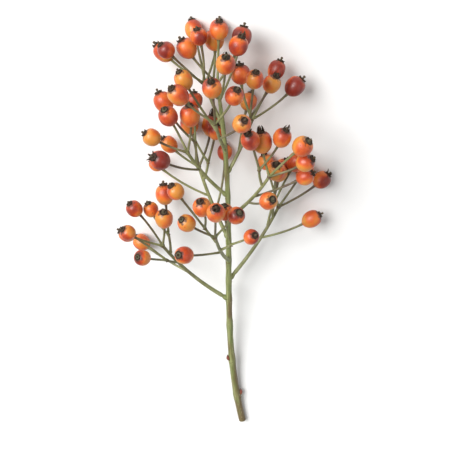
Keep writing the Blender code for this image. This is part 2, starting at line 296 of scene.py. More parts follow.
@dataclass
class Grower:
    """Grows the sprig by its rule, and settles its hips clear of each other."""

    growth: Growth

    def grow(self) -> Sprig:
        """Grows the whole sprig.

        Returns:
            The sprig in the frame of its solids.
        """
        g = self.growth
        draw = random.Random(g.seed)
        sprig = Sprig(Shoot(self.stem_points(), g.stem_radii, -1))
        for number, count in enumerate(g.spray_hips):
            share = number / (len(g.spray_hips) - 1)
            place = between(g.spray_places, share)
            heading = sprig.stem.heading(place)
            bearing = g.first_bearing + number * g.leaf_turn
            divergence = between(g.spray_divergence, share)
            length = between(g.spray_lengths, share)
            base = sprig.stem.at(place)
            direction = self.turned_from(heading, bearing, divergence)
            direction = self.kept_off_table(base, direction, length)
            reach = between(g.stem_radii, place) / math.sin(divergence) + g.collar_length
            thickness = between(g.spray_root_radii, share)
            root_share, tip_share = g.collar_shares
            collar_radii = (between(g.stem_radii, place) * root_share, thickness * tip_share)
            collar = Shoot([base, base + direction * reach], collar_radii, -1)
            outwards = (direction - heading * direction.dot(heading)).normalized()
            sprig.joints.append(Joint(collar, place, outwards))
            root = base + direction * (reach + g.joint_gap)
            radii = (thickness, g.spray_tip_radius)
            axis = self.grow_shoot(root, direction, length, heading, radii, number)
            self.grow_spray(draw, sprig, axis, count, bearing)
        top, heading = sprig.stem.points[-1], sprig.stem.heading(1)
        root = top + heading * g.joint_gap
        radii = (g.stem_radii[1], g.spray_tip_radius)
        axis = self.grow_shoot(root, heading, g.top_length, heading, radii, len(g.spray_hips))
        self.grow_spray(draw, sprig, axis, g.top_hips, 0)
        self.settle(sprig)
        return sprig.moved(-self.middle_of(sprig))

    def stem_points(self) -> list[Vector]:
        """Points along the stem's cubic course, from the cut to the top.

        Returns:
            One point more than the stem has steps.
        """
        a, b, c, d = self.growth.stem_course
        points = []
        for step in range(self.growth.stem_steps + 1):
            t = step / self.growth.stem_steps
            u = 1 - t
            points.append(a * u**3 + b * 3 * t * u * u + c * 3 * t * t * u + d * t**3)
        return points

    def turned_from(self, heading: Vector, bearing: float, divergence: float) -> Vector:
        """A direction that leaves heading by divergence.

        Args:
            heading: The parent's direction of growth.
            bearing: Which side it leaves to: 0 is to the right, a quarter turn is up.
            divergence: The angle between the two.

        Returns:
            The direction, of length 1.
        """
        right = heading.cross(Vector((0, 0, 1))).normalized()
        up = right.cross(heading).normalized()
        side = right * math.cos(bearing) + up * math.sin(bearing) * self.growth.depth_share
        return (heading * math.cos(divergence) + side.normalized() * math.sin(divergence)).normalized()

    def kept_off_table(self, root: Vector, direction: Vector, length: float) -> Vector:
        """The direction, levelled where a shoot of this length would reach the table.

        Args:
            root: Where the shoot starts.
            direction: The way it would leave.
            length: How long it is.

        Returns:
            The direction, of length 1.
        """
        least = (self.growth.lowest_shoot - root.z) / length
        if direction.z >= least:
            return direction
        level = Vector((direction.x, direction.y, 0)).normalized()
        rise = max(-self.growth.steepest, min(self.growth.steepest, least))
        return (level * math.sqrt(1 - rise * rise) + Vector((0, 0, rise))).normalized()

    def grow_shoot(
        self, root: Vector, direction: Vector, length: float, towards: Vector, radii: Pair, spray: int
    ) -> Shoot:
        """A shoot that leaves its root along direction and curves back towards its parent's heading.

        Args:
            root: Where it starts.
            direction: The way it leaves.
            length: How long it is.
            towards: Its parent's heading.
            radii: Its radius at the root and at the tip.
            spray: The number of its spray.

        Returns:
            The shoot.
        """
        direction = self.kept_off_table(root, direction, length)
        final = direction.lerp(towards, self.growth.upward_curve).normalized()
        final = self.kept_off_table(root, final, length)
        bend = root + direction * length * 0.5
        steps = max(3, round(length / self.growth.shoot_step))
        return Shoot(curve_points(root, bend, bend + final * length * 0.5, steps), radii, spray)

    def grow_hip(
        self, draw: random.Random, root: Vector, direction: Vector, length: float, towards: Vector, spray: int
    ) -> Hip:
        """A hip at the end of its pedicel.

        Args:
            draw: The source of random draws.
            root: Where the pedicel starts.
            direction: The way it leaves.
            length: Its usual length.
            towards: Its parent's heading.
            spray: The number of its spray.

        Returns:
            The hip before it is settled.
        """
        length *= 1 + draw.uniform(-self.growth.length_spread, self.growth.length_spread)
        radius = draw.triangular(*self.growth.hip_radii)
        direction = self.kept_off_table(root, direction, length)
        final = direction.lerp(towards, self.growth.upward_curve).normalized()
        final = self.kept_off_table(root, final, length)
        centre = root + (direction + final) * (length + radius) * 0.5
        return Hip(self.growth, root, direction, centre, radius, spray)

    def grow_fork(
        self, draw: random.Random, root: Vector, heading: Vector, bearing: float, count: int, spray: int
    ) -> list[Hip]:
        """The hips of one fork: the first goes nearly straight on, the others leave to either side.

        Args:
            draw: The source of random draws.
            root: Where the shoot forks.
            heading: The shoot's direction of growth there.
            bearing: The side that the first one leans to.
            count: How many hips there are.
            spray: The number of its spray.

        Returns:
            The hips before they are settled.
        """
        g = self.growth
        hips = []
        for number in range(count):
            turn = bearing + number * math.pi + draw.uniform(-g.turn_spread, g.turn_spread)
            spread = g.pedicel_spread * (g.first_spread_share if number == 0 else 1)
            direction = self.turned_from(heading, turn, spread)
            hips.append(self.grow_hip(draw, root, direction, g.pedicel_length, heading, spray))
        return hips

    def grow_spray(
        self, draw: random.Random, sprig: Sprig, axis: Shoot, count: int, bearing: float
    ) -> None:
        """Adds a spray to the sprig: its axis, its forks and its lone hips.

        Args:
            draw: The source of random draws.
            sprig: The sprig that it joins.
            axis: The spray's branch.
            count: How many hips it has.
            bearing: The side of the stem that it grows on.
        """
        g = self.growth
        spray = axis.spray
        sprig.shoots.append(axis)
        swelling = g.spray_tip_radius * g.knot_share
        sprig.knots.append(Knot(axis.points[-1], axis.heading(1), swelling, spray))
        length = line_length(axis.points)
        for place, hips_here in enumerate(g.forks(count)):
            if place == 0:
                sprig.hips += self.grow_fork(draw, axis.points[-1], axis.heading(1), 0, hips_here, spray)
                continue
            spacing = g.fork_spacing * (1 + draw.uniform(-g.fork_spread, g.fork_spread))
            share = max(g.lowest_fork, 1 - place * spacing / length)
            root, heading = axis.at(share), axis.heading(share)
            turn = bearing + place * g.leaf_turn + draw.uniform(-g.turn_spread, g.turn_spread)
            direction = self.turned_from(heading, turn, g.fork_divergence)
            if hips_here == 1:
                lone = self.grow_hip(draw, root, direction, g.lone_pedicel_length, heading, spray)
                sprig.hips.append(lone)
                continue
            radii = (g.stalk_radius, g.pedicel_radius)
            stalk = self.grow_shoot(root, direction, g.stalk_length, heading, radii, spray)
            sprig.shoots.append(stalk)
            tip, swelling = stalk.points[-1], g.stalk_radius * g.knot_share
            sprig.knots.append(Knot(tip, stalk.heading(1), swelling, spray))
            sprig.hips += self.grow_fork(draw, tip, stalk.heading(1), turn, hips_here, spray)

    def pushes(
        self,
        points: np.ndarray,
        sizes: np.ndarray,
        others: np.ndarray,
        other_sizes: np.ndarray,
        same: np.ndarray,
    ) -> tuple[np.ndarray, np.ndarray]:
        """How far points have to move to clear others.

        Args:
            points: The centres of the round things that move.
            sizes: Their radii.
            others: The centres of what they have to clear.
            other_sizes: The radii of those.
            same: True for each pair that belongs to one piece.

        Returns:
            The move of each point, and the reverse move of each of the others.
        """
        apart = points[:, None] - others[None]
        distance = np.linalg.norm(apart, axis=2) + 1e-9
        over = np.maximum(sizes[:, None] + other_sizes[None] + self.growth.clearance - distance, 0)
        over[same] = 0
        step = apart / distance[:, :, None] * over[:, :, None]
        return step.sum(axis=1), -step.sum(axis=0)

    def settle(self, sprig: Sprig) -> None:
        """Moves the hips clear of each other, of branches, of other pedicels and of the table.

        Args:
            sprig: The sprig whose hips are moved.
        """
        g = self.growth
        hips = sprig.hips
        count = len(hips)
        radii = np.array([hip.radius for hip in hips])
        home = np.array([hip.centre for hip in hips])
        table = radii - g.flat_depth
        home[:, 2] = np.where(home[:, 2] < table + g.sag_reach, table, home[:, 2])
        centres = home.copy()
        posts, post_sizes = [], []
        for shoot in [sprig.stem, *sprig.shoots]:
            post_count = g.posts_per_point * len(shoot.points)
            for index in range(post_count):
                share = index / (post_count - 1)
                posts.append(shoot.at(share))
                post_sizes.append(between(shoot.radii, share))
        posts, post_sizes = np.array(posts), np.array(post_sizes)
        owner = np.tile(np.arange(count), 2)
        sizes = np.concatenate([radii * g.hip_bulk, radii * g.calyx_bulk])
        steps = g.line_steps
        line_owner = np.repeat(np.arange(count), steps - 1)
        line_sizes = np.full(len(line_owner), g.pedicel_radius)
        line_share = np.tile(np.arange(1, steps) / steps, count)[:, None]
        for _ in range(g.rounds):
            calyces = np.array([hip.centre + hip.axis() * hip.radius * g.calyx_place for hip in hips])
            lines = np.array([point for hip in hips for point in hip.pedicel(steps)[1:-1]])
            spheres = np.concatenate([centres, calyces])
            move = np.zeros((count, 3))
            same = owner[:, None] == owner[None]
            np.add.at(move, owner, 0.5 * self.pushes(spheres, sizes, spheres, sizes, same)[0])
            none = np.zeros((len(owner), len(posts)), bool)
            np.add.at(move, owner, self.pushes(spheres, sizes, posts, post_sizes, none)[0])
            same = owner[:, None] == line_owner[None]
            ahead, back = self.pushes(spheres, sizes, lines, line_sizes, same)
            np.add.at(move, owner, 0.5 * ahead)
            np.add.at(move, line_owner, 0.5 * back * line_share)
            centres += g.round_share * move + g.home_pull * (home - centres)
            centres[:, 2] = np.where(centres[:, 2] < table + g.clearance, table, centres[:, 2])
            for hip, centre in zip(hips, centres):
                hip.centre = Vector(centre)

    def middle_of(self, sprig: Sprig) -> Vector:
        """The point of the table under the middle of the sprig's outline.

        Args:
            sprig: The settled sprig.

        Returns:
            The point.
        """
        reach = [(hip.centre, hip.radius) for hip in sprig.hips]
        reach.append((sprig.stem.points[0], 0))
        low = [min(point[i] - size for point, size in reach) for i in range(2)]
        high = [max(point[i] + size for point, size in reach) for i in range(2)]
        return Vector(((low[0] + high[0]) / 2, (low[1] + high[1]) / 2, 0))


class Domain(Enum):
    """The kinds of value that a mesh keeps at each point."""

    NUMBER = "FLOAT"
    WHOLE = "INT"
    VECTOR = "FLOAT_VECTOR"


def store(mesh: bpy.types.Mesh, name: str, kind: Domain, values: Iterable) -> None:
    """Keeps one value for each point of a mesh.

    Args:
        mesh: The mesh.
        name: The attribute's name.
        kind: What each value is.
        values: The values, in the order of the points.
    """
    layer = mesh.attributes.new(name, kind.value, "POINT")
    flat = np.array(list(values), dtype=np.int32 if kind is Domain.WHOLE else np.float32).ravel()
    layer.data.foreach_set("vector" if kind is Domain.VECTOR else "value", flat)


def store_places(mesh: bpy.types.Mesh, name: str) -> None:
    """Keeps each point's own place under a name, so that a pattern can follow the template."""
    store(mesh, name, Domain.VECTOR, [vertex.co.copy() for vertex in mesh.vertices])


def new_object(name: str, mesh: bpy.types.Mesh) -> bpy.types.Object:
    """An object of the scene with this mesh, at the origin.

    Args:
        name: The object's name.
        mesh: Its mesh.

    Returns:
        The object.
    """
    made = bpy.data.objects.new(name, mesh)
    bpy.context.scene.collection.objects.link(made)
    return made


def mesh_of(shape: bmesh.types.BMesh, name: str) -> bpy.types.Mesh:
    """Turns a shape into a smooth mesh whose faces point outwards, and frees the shape.

    Args:
        shape: The shape.
        name: The mesh's name.

    Returns:
        The mesh.
    """
    bmesh.ops.recalc_face_normals(shape, faces=shape.faces)
    mesh = bpy.data.meshes.new(name)
    shape.to_mesh(mesh)
    shape.free()
    mesh.shade_smooth()
    return mesh


def rest_on_table(mesh: bpy.types.Mesh) -> None:
    """Presses flat whatever would reach below the table."""
    for vertex in mesh.vertices:
        vertex.co.z = max(vertex.co.z, 0.0)


def spoke(angle: float) -> Vector:
    """The level direction at this angle from +X."""
    return Vector((math.cos(angle), math.sin(angle), 0))


def bridge(shape: bmesh.types.BMesh, rings: list[list[bmesh.types.BMVert]]) -> None:
    """Joins rings of vertices, each to the next, with faces. A ring of one vertex is a pole.

    Args:
        shape: The shape that the vertices are in.
        rings: The rings, all of one size but for the poles.
    """
    for low, high in zip(rings, rings[1:]):
        sides = max(len(low), len(high))
        for side in range(sides):
            after = (side + 1) % sides
            corners = [low[side % len(low)], low[after % len(low)]]
            corners += [high[after % len(high)], high[side % len(high)]]
            shape.faces.new(list(dict.fromkeys(corners)))


def lathe(
    shape: bmesh.types.BMesh,
    profile: Iterable[Pair],
    sides: int,
    swell: Swell = lambda angle, radius, height: (1.0, 0.0),
) -> None:
    """Adds a closed turned form about Z to a shape.

    Args:
        shape: The shape that it joins.
        profile: Pairs of radius and height, from the pole at one end to the pole at the other.
        sides: How many sides it has.
        swell: Gives the factor on the radius and the lift at an angle, radius and height.
    """
    rings = []
    for radius, height in profile:
        if radius == 0:
            rings.append([shape.verts.new((0, 0, height))])
            continue
        ring = []
        for side in range(sides):
            angle = math.tau * side / sides
            factor, lift = swell(angle, radius, height)
            x, y = math.cos(angle) * radius * factor, math.sin(angle) * radius * factor
            ring.append(shape.verts.new((x, y, height + lift)))
        rings.append(ring)
    bridge(shape, rings)


@dataclass(frozen=True)
class Blade:
    """A dry pointed blade that grows up from its foot, leans outwards from +Z and bends on its way."""

    length: float
    lean: float
    bend: float
    width: float
    taper: float
    tip: float
    flatness: float
    twist: float = 0.0
    steps: int = 6
    sides: int = 6

    def add(self, shape: bmesh.types.BMesh, foot: Vector, out: Vector) -> None:
        """Adds the blade to a shape.

        Args:
            shape: The shape that it joins.
            foot: Where it starts.
            out: The level direction that it leans to, and that its broad face looks to.
        """
        aside = Vector((-out.y, out.x, 0))
        path, widths, place = [], [], foot
        for step in range(self.steps + 1):
            share = step / self.steps
            path.append(place)
            widths.append(self.width * (1 - share) ** self.taper + self.tip)
            tilt = self.lean + self.bend * share
            ahead = out * math.sin(tilt) + Vector((0, 0, math.cos(tilt))) + aside * self.twist * share
            place = place + ahead.normalized() * self.length / self.steps
        rings = []
        for index, (place, width) in enumerate(zip(path, widths)):
            ahead = path[min(index + 1, self.steps)] - path[max(index - 1, 0)]
            across = ahead.cross(out).normalized()
            over = across.cross(ahead).normalized() * self.flatness
            angles = [math.tau * side / self.sides for side in range(self.sides)]
            offsets = [across * math.cos(angle) + over * math.sin(angle) for angle in angles]
            rings.append([shape.verts.new(place + offset * width) for offset in offsets])
        bridge(shape, rings)
        shape.faces.new(rings[0][::-1])
        shape.faces.new(rings[-1])


@dataclass(frozen=True)
class Grain:
    """A noise pattern: its scale, its detail, and how dense it is along each axis."""

    scale: float
    detail: float = 2.0
    density: Triple = (1.0, 1.0, 1.0)


@dataclass
class NodeBench:
    """A material or geometry tree under construction."""

    tree: bpy.types.NodeTree

    def add(self, kind: str, settings: dict[str, object] | None = None, **inputs: object) -> bpy.types.Node:
        """Adds a node.

        Args:
            kind: The node's type.
            settings: Values of the node's own properties.
            **inputs: Values or sockets for its inputs, by name, with _ for a space.

        Returns:
            The node.
        """
        node = self.tree.nodes.new(kind)
        for name, value in (settings or {}).items():
            setattr(node, name, value)
        self.plug(node, **inputs)
        return node

    def plug(self, node: bpy.types.Node, **inputs: object) -> None:
        """Feeds a node's inputs, each by its name, with _ for a space."""
        for name, value in inputs.items():
            self.feed(node.inputs[name.replace("_", " ")], value)

    def feed(self, socket: Socket, value: object) -> None:
        """Links value to the socket if it is a socket, or else sets it there.

        Args:
            socket: The input.
            value: A socket, or a plain value.
        """
        if isinstance(value, Socket):
            self.tree.links.new(value, socket)
        else:
            socket.default_value = value

    def sum_of(self, kind: str, settings: dict[str, object], *values: object) -> bpy.types.Node:
        """Adds a node whose inputs are known by their order.

        Args:
            kind: The node's type.
            settings: Values of the node's own properties.
            *values: Values or sockets for its first inputs.

        Returns:
            The node.
        """
        node = self.add(kind, settings)
        for socket, value in zip(node.inputs, values):
            self.feed(socket, value)
        return node

    def shader(self) -> bpy.types.Node:
        """The shader of a material."""
        return self.tree.nodes["Principled BSDF"]

    def times(self, first: object, second: object, clamp: bool = False) -> Socket:
        """The product of two numbers, held between 0 and 1 if clamp is set."""
        settings = {"operation": "MULTIPLY", "use_clamp": clamp}
        return self.sum_of("ShaderNodeMath", settings, first, second).outputs[0]

    def total(self, *values: object) -> Socket:
        """The sum of two numbers or more.

        Args:
            *values: Values or sockets.

        Returns:
            The sum.
        """
        first, *others = values
        for other in others:
            first = self.sum_of("ShaderNodeMath", {"operation": "ADD"}, first, other).outputs[0]
        return first

    def shifted(self, vector: object, shift: object) -> Socket:
        """The coordinates, moved by shift."""
        return self.sum_of("ShaderNodeVectorMath", {"operation": "ADD"}, vector, shift).outputs["Vector"]

    def scaled(self, vector: object, factor: object) -> Socket:
        """The coordinates, all times one factor.

        Args:
            vector: The coordinates.
            factor: The factor.

        Returns:
            The scaled coordinates.
        """
        node = self.add("ShaderNodeVectorMath", {"operation": "SCALE"}, Scale=factor)
        self.feed(node.inputs[0], vector)
        return node.outputs["Vector"]

    def distance(self, vector: object) -> Socket:
        """How far the coordinates are from their origin."""
        return self.sum_of("ShaderNodeVectorMath", {"operation": "LENGTH"}, vector).outputs["Value"]

    def joined(self, **parts: object) -> Socket:
        """Coordinates with these X, Y and Z, and 0 for what isn't given."""
        return self.add("ShaderNodeCombineXYZ", **parts).outputs["Vector"]

    def spread(self, value: object, band: Band) -> Socket:
        """The value carried over softly from one range to another, and held there.

        Args:
            value: The value.
            band: The two ends of its range, and what they turn into if that isn't 0 and 1.

        Returns:
            The new value.
        """
        low, high, *ends = band
        to_low, to_high = ends or (0.0, 1.0)
        node = self.add(
            "ShaderNodeMapRange",
            {"interpolation_type": "SMOOTHSTEP"},
            Value=value,
            From_Min=low,
            From_Max=high,
            To_Min=to_low,
            To_Max=to_high,
        )
        return node.outputs["Result"]

    def mix(self, share: object, first: object, second: object) -> Socket:
        """A mix of two colours.

        Args:
            share: The share of the second.
            first: A colour.
            second: Another colour.

        Returns:
            The mixed colour.
        """
        node = self.add("ShaderNodeMix", {"data_type": "RGBA"})
        for label, value in (("Factor_Float", share), ("A_Color", first), ("B_Color", second)):
            self.feed(next(socket for socket in node.inputs if socket.identifier == label), value)
        return next(socket for socket in node.outputs if socket.identifier == "Result_Color")

    def ramp(self, level: object, places: tuple[float, ...], colours: tuple[Colour, ...]) -> Socket:
        """A colour that runs through several as the level rises past their places.

        Args:
            level: The level.
            places: The level at which each colour is pure, in rising order.
            colours: The colours.

        Returns:
            The colour.
        """
        node = self.add("ShaderNodeValToRGB", Fac=level)
        stops = node.color_ramp.elements
        stops[0].position, stops[1].position = places[0], places[-1]
        for place in places[1:-1]:
            stops.new(place)
        for stop, colour in zip(stops, colours):
            stop.color = colour
        return node.outputs["Color"]

    def attribute(self, name: str, output: str = "Fac") -> Socket:
        """An attribute of the piece, as a number or as a Vector."""
        return self.add("ShaderNodeAttribute", {"attribute_name": name}).outputs[output]

    def noise(self, vector: Socket, grain: Grain) -> Socket:
        """A noise value from 0 to 1 about 0.5.

        Args:
            vector: The coordinates.
            grain: The pattern.

        Returns:
            The value.
        """
        if grain.density != Grain.density:
            vector = self.dense(vector, grain.density)
        node = self.add("ShaderNodeTexNoise", Vector=vector, Scale=grain.scale, Detail=grain.detail)
        return node.outputs["Fac"]

    def cells(self, vector: Socket, scale: float) -> Socket:
        """The distance to the nearest of many scattered points."""
        return self.add("ShaderNodeTexVoronoi", Vector=vector, Scale=scale).outputs["Distance"]

    def dense(self, vector: Socket, density: Triple) -> Socket:
        """The coordinates, times a factor along each axis."""
        return self.add("ShaderNodeMapping", Vector=vector, Scale=density).outputs["Vector"]


@dataclass(frozen=True)
class Finish:
    """A finish: the name of its material, its plain shader values, and its relief in metres."""

    name: str
    roughness: float = 0.5
    specular: float = 0.5
    relief: float = 0.0001
    relief_strength: float = 0.5

    def make(self) -> bpy.types.Material:
        """Builds the material, or gives the one already built.

        Returns:
            The material.
        """
        found = bpy.data.materials.get(self.name)
        if found:
            return found
        material = bpy.data.materials.new(self.name)
        material.use_nodes = True
        bench = NodeBench(material.node_tree)
        bench.plug(bench.shader(), Roughness=self.roughness, Specular_IOR_Level=self.specular)
        colour, height = self.dress(bench)
        bench.plug(bench.shader(), Base_Color=colour)
        if height is not None:
            depth = {"Strength": self.relief_strength, "Distance": self.relief}
            bump = bench.add("ShaderNodeBump", Height=height, **depth)
            bench.plug(bench.shader(), Normal=bump.outputs["Normal"])
        return material

    def dress(self, bench: NodeBench) -> Dressing:
        """Adds the finish's own nodes, and gives the colour and the height of the relief if it has one."""
        raise NotImplementedError


@dataclass(frozen=True)
class HipSkin(Finish):
    """Waxy fruit skin that ripens from yellow-orange to deep red, with pale specks and a few bruises."""

    name: str = "waxy_hip_skin"
    roughness: float = 0.40
    specular: float = 0.6
    unripe: Colour = (0.60, 0.235, 0.035, 1)
    orange: Colour = (0.66, 0.150, 0.022, 1)
    ripe: Colour = (0.47, 0.056, 0.010, 1)
    dark: Colour = (0.22, 0.018, 0.008, 1)
    speck: Colour = (0.72, 0.36, 0.12, 1)
    bruise: Colour = (0.075, 0.022, 0.010, 1)
    foot: Colour = (0.26, 0.17, 0.035, 1)
    own_shift: Triple = (37.0, 25.9, 14.8)
    ripening: tuple[float, ...] = (0.05, 0.34, 0.68, 0.98)
    blush: Grain = Grain(0.5, 1.0)
    blush_band: Band = (0.34, 0.66, -0.34, 0.38)
    calyx_side: Band = (-1.0, 1.0, -0.08, 0.08)
    mottle: Grain = Grain(5.0, 3.0)
    streaks: Grain = Grain(1.6, 2.0, (5.0, 5.0, 0.9))
    fine_band: Band = (0.35, 0.65, -0.03, 0.03)
    speck_scale: float = 7.5
    speck_band: Band = (0.10, 0.05)
    speck_share: float = 0.45
    speck_height: float = 0.5
    blotches: Grain = Grain(2.1, 5.0)
    blotch_band: Band = (0.67, 0.74)
    bruised_lots: Band = (0.55, 0.85)
    bruise_share: float = 0.7
    bruise_depth: float = 0.6
    bruise_dullness: float = 0.2
    foot_band: Band = (-0.93, -1.08, 0.0, 0.75)
    ragged: Grain = Grain(3.0, 3.0)
    ragged_band: Band = (0.3, 0.7, -0.09, 0.09)
    crown_band: Band = (0.84, 0.97, 0.0, 0.85)
    dull_band: Band = (0.3, 0.7, -0.06, 0.08)
    pores: Grain = Grain(11.0, 3.0)
    flesh_share: float = 0.18
    flesh_colours: Triple = (1.0, 0.32, 0.12)
    flesh_depth: float = 0.0015

    def dress(self, bench: NodeBench) -> Dressing:
        """Ripening follows each hip's own axis and its own draws.

        Args:
            bench: The material's bench.

        Returns:
            The colour, and the height of the relief.
        """
        place = bench.attribute("hip_place", "Vector")
        lot = bench.attribute("lot")
        own = bench.shifted(place, bench.scaled(self.own_shift, lot))
        axis = bench.add("ShaderNodeSeparateXYZ", Vector=place).outputs["Z"]
        mottle = bench.noise(own, self.mottle)
        level = bench.total(
            bench.attribute("ripeness"),
            bench.spread(bench.noise(own, self.blush), self.blush_band),
            bench.spread(axis, self.calyx_side),
            bench.spread(mottle, self.fine_band),
            bench.spread(bench.noise(own, self.streaks), self.fine_band),
        )
        colour = bench.ramp(level, self.ripening, (self.unripe, self.orange, self.ripe, self.dark))
        specks = bench.spread(bench.cells(own, self.speck_scale), self.speck_band)
        colour = bench.mix(bench.times(specks, self.speck_share), colour, self.speck)
        marks = bench.spread(bench.noise(own, self.blotches), self.blotch_band)
        marks = bench.times(marks, bench.spread(lot, self.bruised_lots))
        colour = bench.mix(bench.times(marks, self.bruise_share), colour, self.bruise)
        colour = bench.mix(bench.spread(axis, self.foot_band), colour, self.foot)
        worn = bench.total(axis, bench.spread(bench.noise(own, self.ragged), self.ragged_band))
        colour = bench.mix(bench.spread(worn, self.crown_band), colour, self.bruise)
        dullness = bench.total(bench.spread(mottle, self.dull_band), bench.times(marks, self.bruise_dullness))
        bench.plug(
            bench.shader(),
            Roughness=bench.total(dullness, self.roughness),
            Subsurface_Weight=self.flesh_share,
            Subsurface_Radius=self.flesh_colours,
            Subsurface_Scale=self.flesh_depth,
        )
        raised = bench.times(specks, self.speck_height)
        sunk = bench.times(marks, -self.bruise_depth)
        return colour, bench.total(bench.noise(own, self.pores), raised, sunk)


@dataclass(frozen=True)
class ShootSkin(Finish):
    """Any skin of a round shoot, with a pattern that follows the shoot."""

    girth: float = 0.001
    own_shift: float = 0.73

    def wrapped(self, bench: NodeBench) -> Socket:
        """Coordinates in metres: round the shoot in X and Y, and along it in Z.

        Args:
            bench: The material's bench.

        Returns:
            The coordinates, different for each shoot by its own draw.
        """
        ring = bench.scaled(bench.attribute("ring", "Vector"), self.girth)
        run = bench.total(bench.attribute("run"), bench.times(bench.attribute("lot"), self.own_shift))
        return bench.shifted(ring, bench.joined(Z=run))


@dataclass(frozen=True)
class StalkBark(ShootSkin):
    """Green stalk skin, browner towards the hips, with faint streaks and dark dots."""

    name: str = "green_stalk_skin"
    relief: float = 0.00009
    green: Colour = (0.160, 0.174, 0.058, 1)
    pale: Colour = (0.300, 0.310, 0.140, 1)
    brown: Colour = (0.098, 0.064, 0.038, 1)
    dot: Colour = (0.040, 0.026, 0.014, 1)
    streaks: Grain = Grain(1400.0, 2.0, (1.0, 1.0, 0.12))
    streak_band: Band = (0.4, 0.7, 0.0, 0.3)
    clouds: Grain = Grain(120.0, 3.0)
    cloud_band: Band = (0.35, 0.68, 0.0, 0.75)
    browning: Band = (0.3, 1.0, 0.12, 0.62)
    own_browning: Band = (0.0, 1.0, -0.25, 0.40)
    patches: Grain = Grain(210.0, 2.0)
    patch_band: Band = (0.35, 0.65, -0.18, 0.18)
    green_root: Band = (0.03, 0.3)
    dot_scale: float = 1150.0
    dot_band: Band = (0.24, 0.15)
    dotted: Band = (0.40, 0.60)
    dot_share: float = 0.5

    def dress(self, bench: NodeBench) -> Dressing:
        """The root is green, and the rest browns by each stalk's own draw.

        Args:
            bench: The material's bench.

        Returns:
            The colour, and the height of the relief.
        """
        place = self.wrapped(bench)
        along = bench.attribute("along")
        streaks = bench.noise(place, self.streaks)
        clouds = bench.noise(place, self.clouds)
        light = bench.total(bench.spread(clouds, self.cloud_band), bench.spread(streaks, self.streak_band))
        colour = bench.mix(light, self.green, self.pale)
        level = bench.total(
            bench.spread(along, self.browning),
            bench.spread(bench.attribute("lot"), self.own_browning),
            bench.spread(bench.noise(place, self.patches), self.patch_band),
        )
        level = bench.times(level, bench.spread(along, self.green_root), True)
        colour = bench.mix(level, colour, self.brown)
        dots = bench.spread(bench.cells(place, self.dot_scale), self.dot_band)
        dots = bench.times(dots, bench.spread(clouds, self.dotted))
        return bench.mix(bench.times(dots, self.dot_share), colour, self.dot), bench.total(streaks, dots)


@dataclass(frozen=True)
class CaneBark(ShootSkin):
    """Smooth green cane bark with red-brown shading, long streaks and pale lenticels."""

    name: str = "green_cane_bark"
    roughness: float = 0.46
    relief: float = 0.00012
    girth: float = 0.0022
    green: Colour = (0.135, 0.165, 0.047, 1)
    pale: Colour = (0.300, 0.320, 0.135, 1)
    brown: Colour = (0.120, 0.055, 0.028, 1)
    lenticel: Colour = (0.34, 0.29, 0.17, 1)
    streaks: Grain = Grain(1300.0, 3.0, (1.0, 1.0, 0.05))
    streak_band: Band = (0.35, 0.68)
    clouds: Grain = Grain(110.0, 3.0, (1.0, 1.0, 0.35))
    older_half: Band = (0.0, 0.8, 0.10, -0.06)
    shade_band: Band = (0.46, 0.68, 0.0, 0.75)
    lenticel_scale: float = 620.0
    lenticel_density: Triple = (1.0, 1.0, 0.45)
    lenticel_band: Band = (0.20, 0.13)
    lenticel_share: float = 0.7
    lenticel_height: float = 0.9
    dull_band: Band = (0.3, 0.7, -0.06, 0.10)

    def dress(self, bench: NodeBench) -> Dressing:
        """Streaks and lenticels follow the cane, and its lower half is the browner one.

        Args:
            bench: The material's bench.

        Returns:
            The colour, and the height of the relief.
        """
        place = self.wrapped(bench)
        streaks = bench.noise(place, self.streaks)
        clouds = bench.noise(place, self.clouds)
        colour = bench.mix(bench.spread(streaks, self.streak_band), self.green, self.pale)
        shade = bench.total(clouds, bench.spread(bench.attribute("along"), self.older_half))
        colour = bench.mix(bench.spread(shade, self.shade_band), colour, self.brown)
        spots = bench.cells(bench.dense(place, self.lenticel_density), self.lenticel_scale)
        spots = bench.spread(spots, self.lenticel_band)
        colour = bench.mix(bench.times(spots, self.lenticel_share), colour, self.lenticel)
        dullness = bench.total(bench.spread(clouds, self.dull_band), self.roughness)
        bench.plug(bench.shader(), Roughness=dullness)
        return colour, bench.total(streaks, bench.times(spots, self.lenticel_height))


@dataclass(frozen=True)
class BudSkin(ShootSkin):
    """Bud scales: green at the foot, red along the middle and brown at the point."""

    name: str = "red_bud_scales"
    roughness: float = 0.42
    relief: float = 0.00006
    foot: Colour = (0.130, 0.130, 0.038, 1)
    middle: Colour = (0.210, 0.050, 0.030, 1)
    point: Colour = (0.070, 0.024, 0.016, 1)
    grain: Grain = Grain(1600.0, 3.0, (1.0, 1.0, 0.3))
    grain_band: Band = (0.3, 0.7, -0.12, 0.12)
    reddening: Band = (0.10, 0.50)
    browning: Band = (0.60, 0.95)

    def dress(self, bench: NodeBench) -> Dressing:
        """The colours run along each scale.

        Args:
            bench: The material's bench.

        Returns:
            The colour, and the height of the relief.
        """
        grain = bench.noise(self.wrapped(bench), self.grain)
        along = bench.total(bench.attribute("along"), bench.spread(grain, self.grain_band))
        colour = bench.mix(bench.spread(along, self.reddening), self.foot, self.middle)
        return bench.mix(bench.spread(along, self.browning), colour, self.point), grain


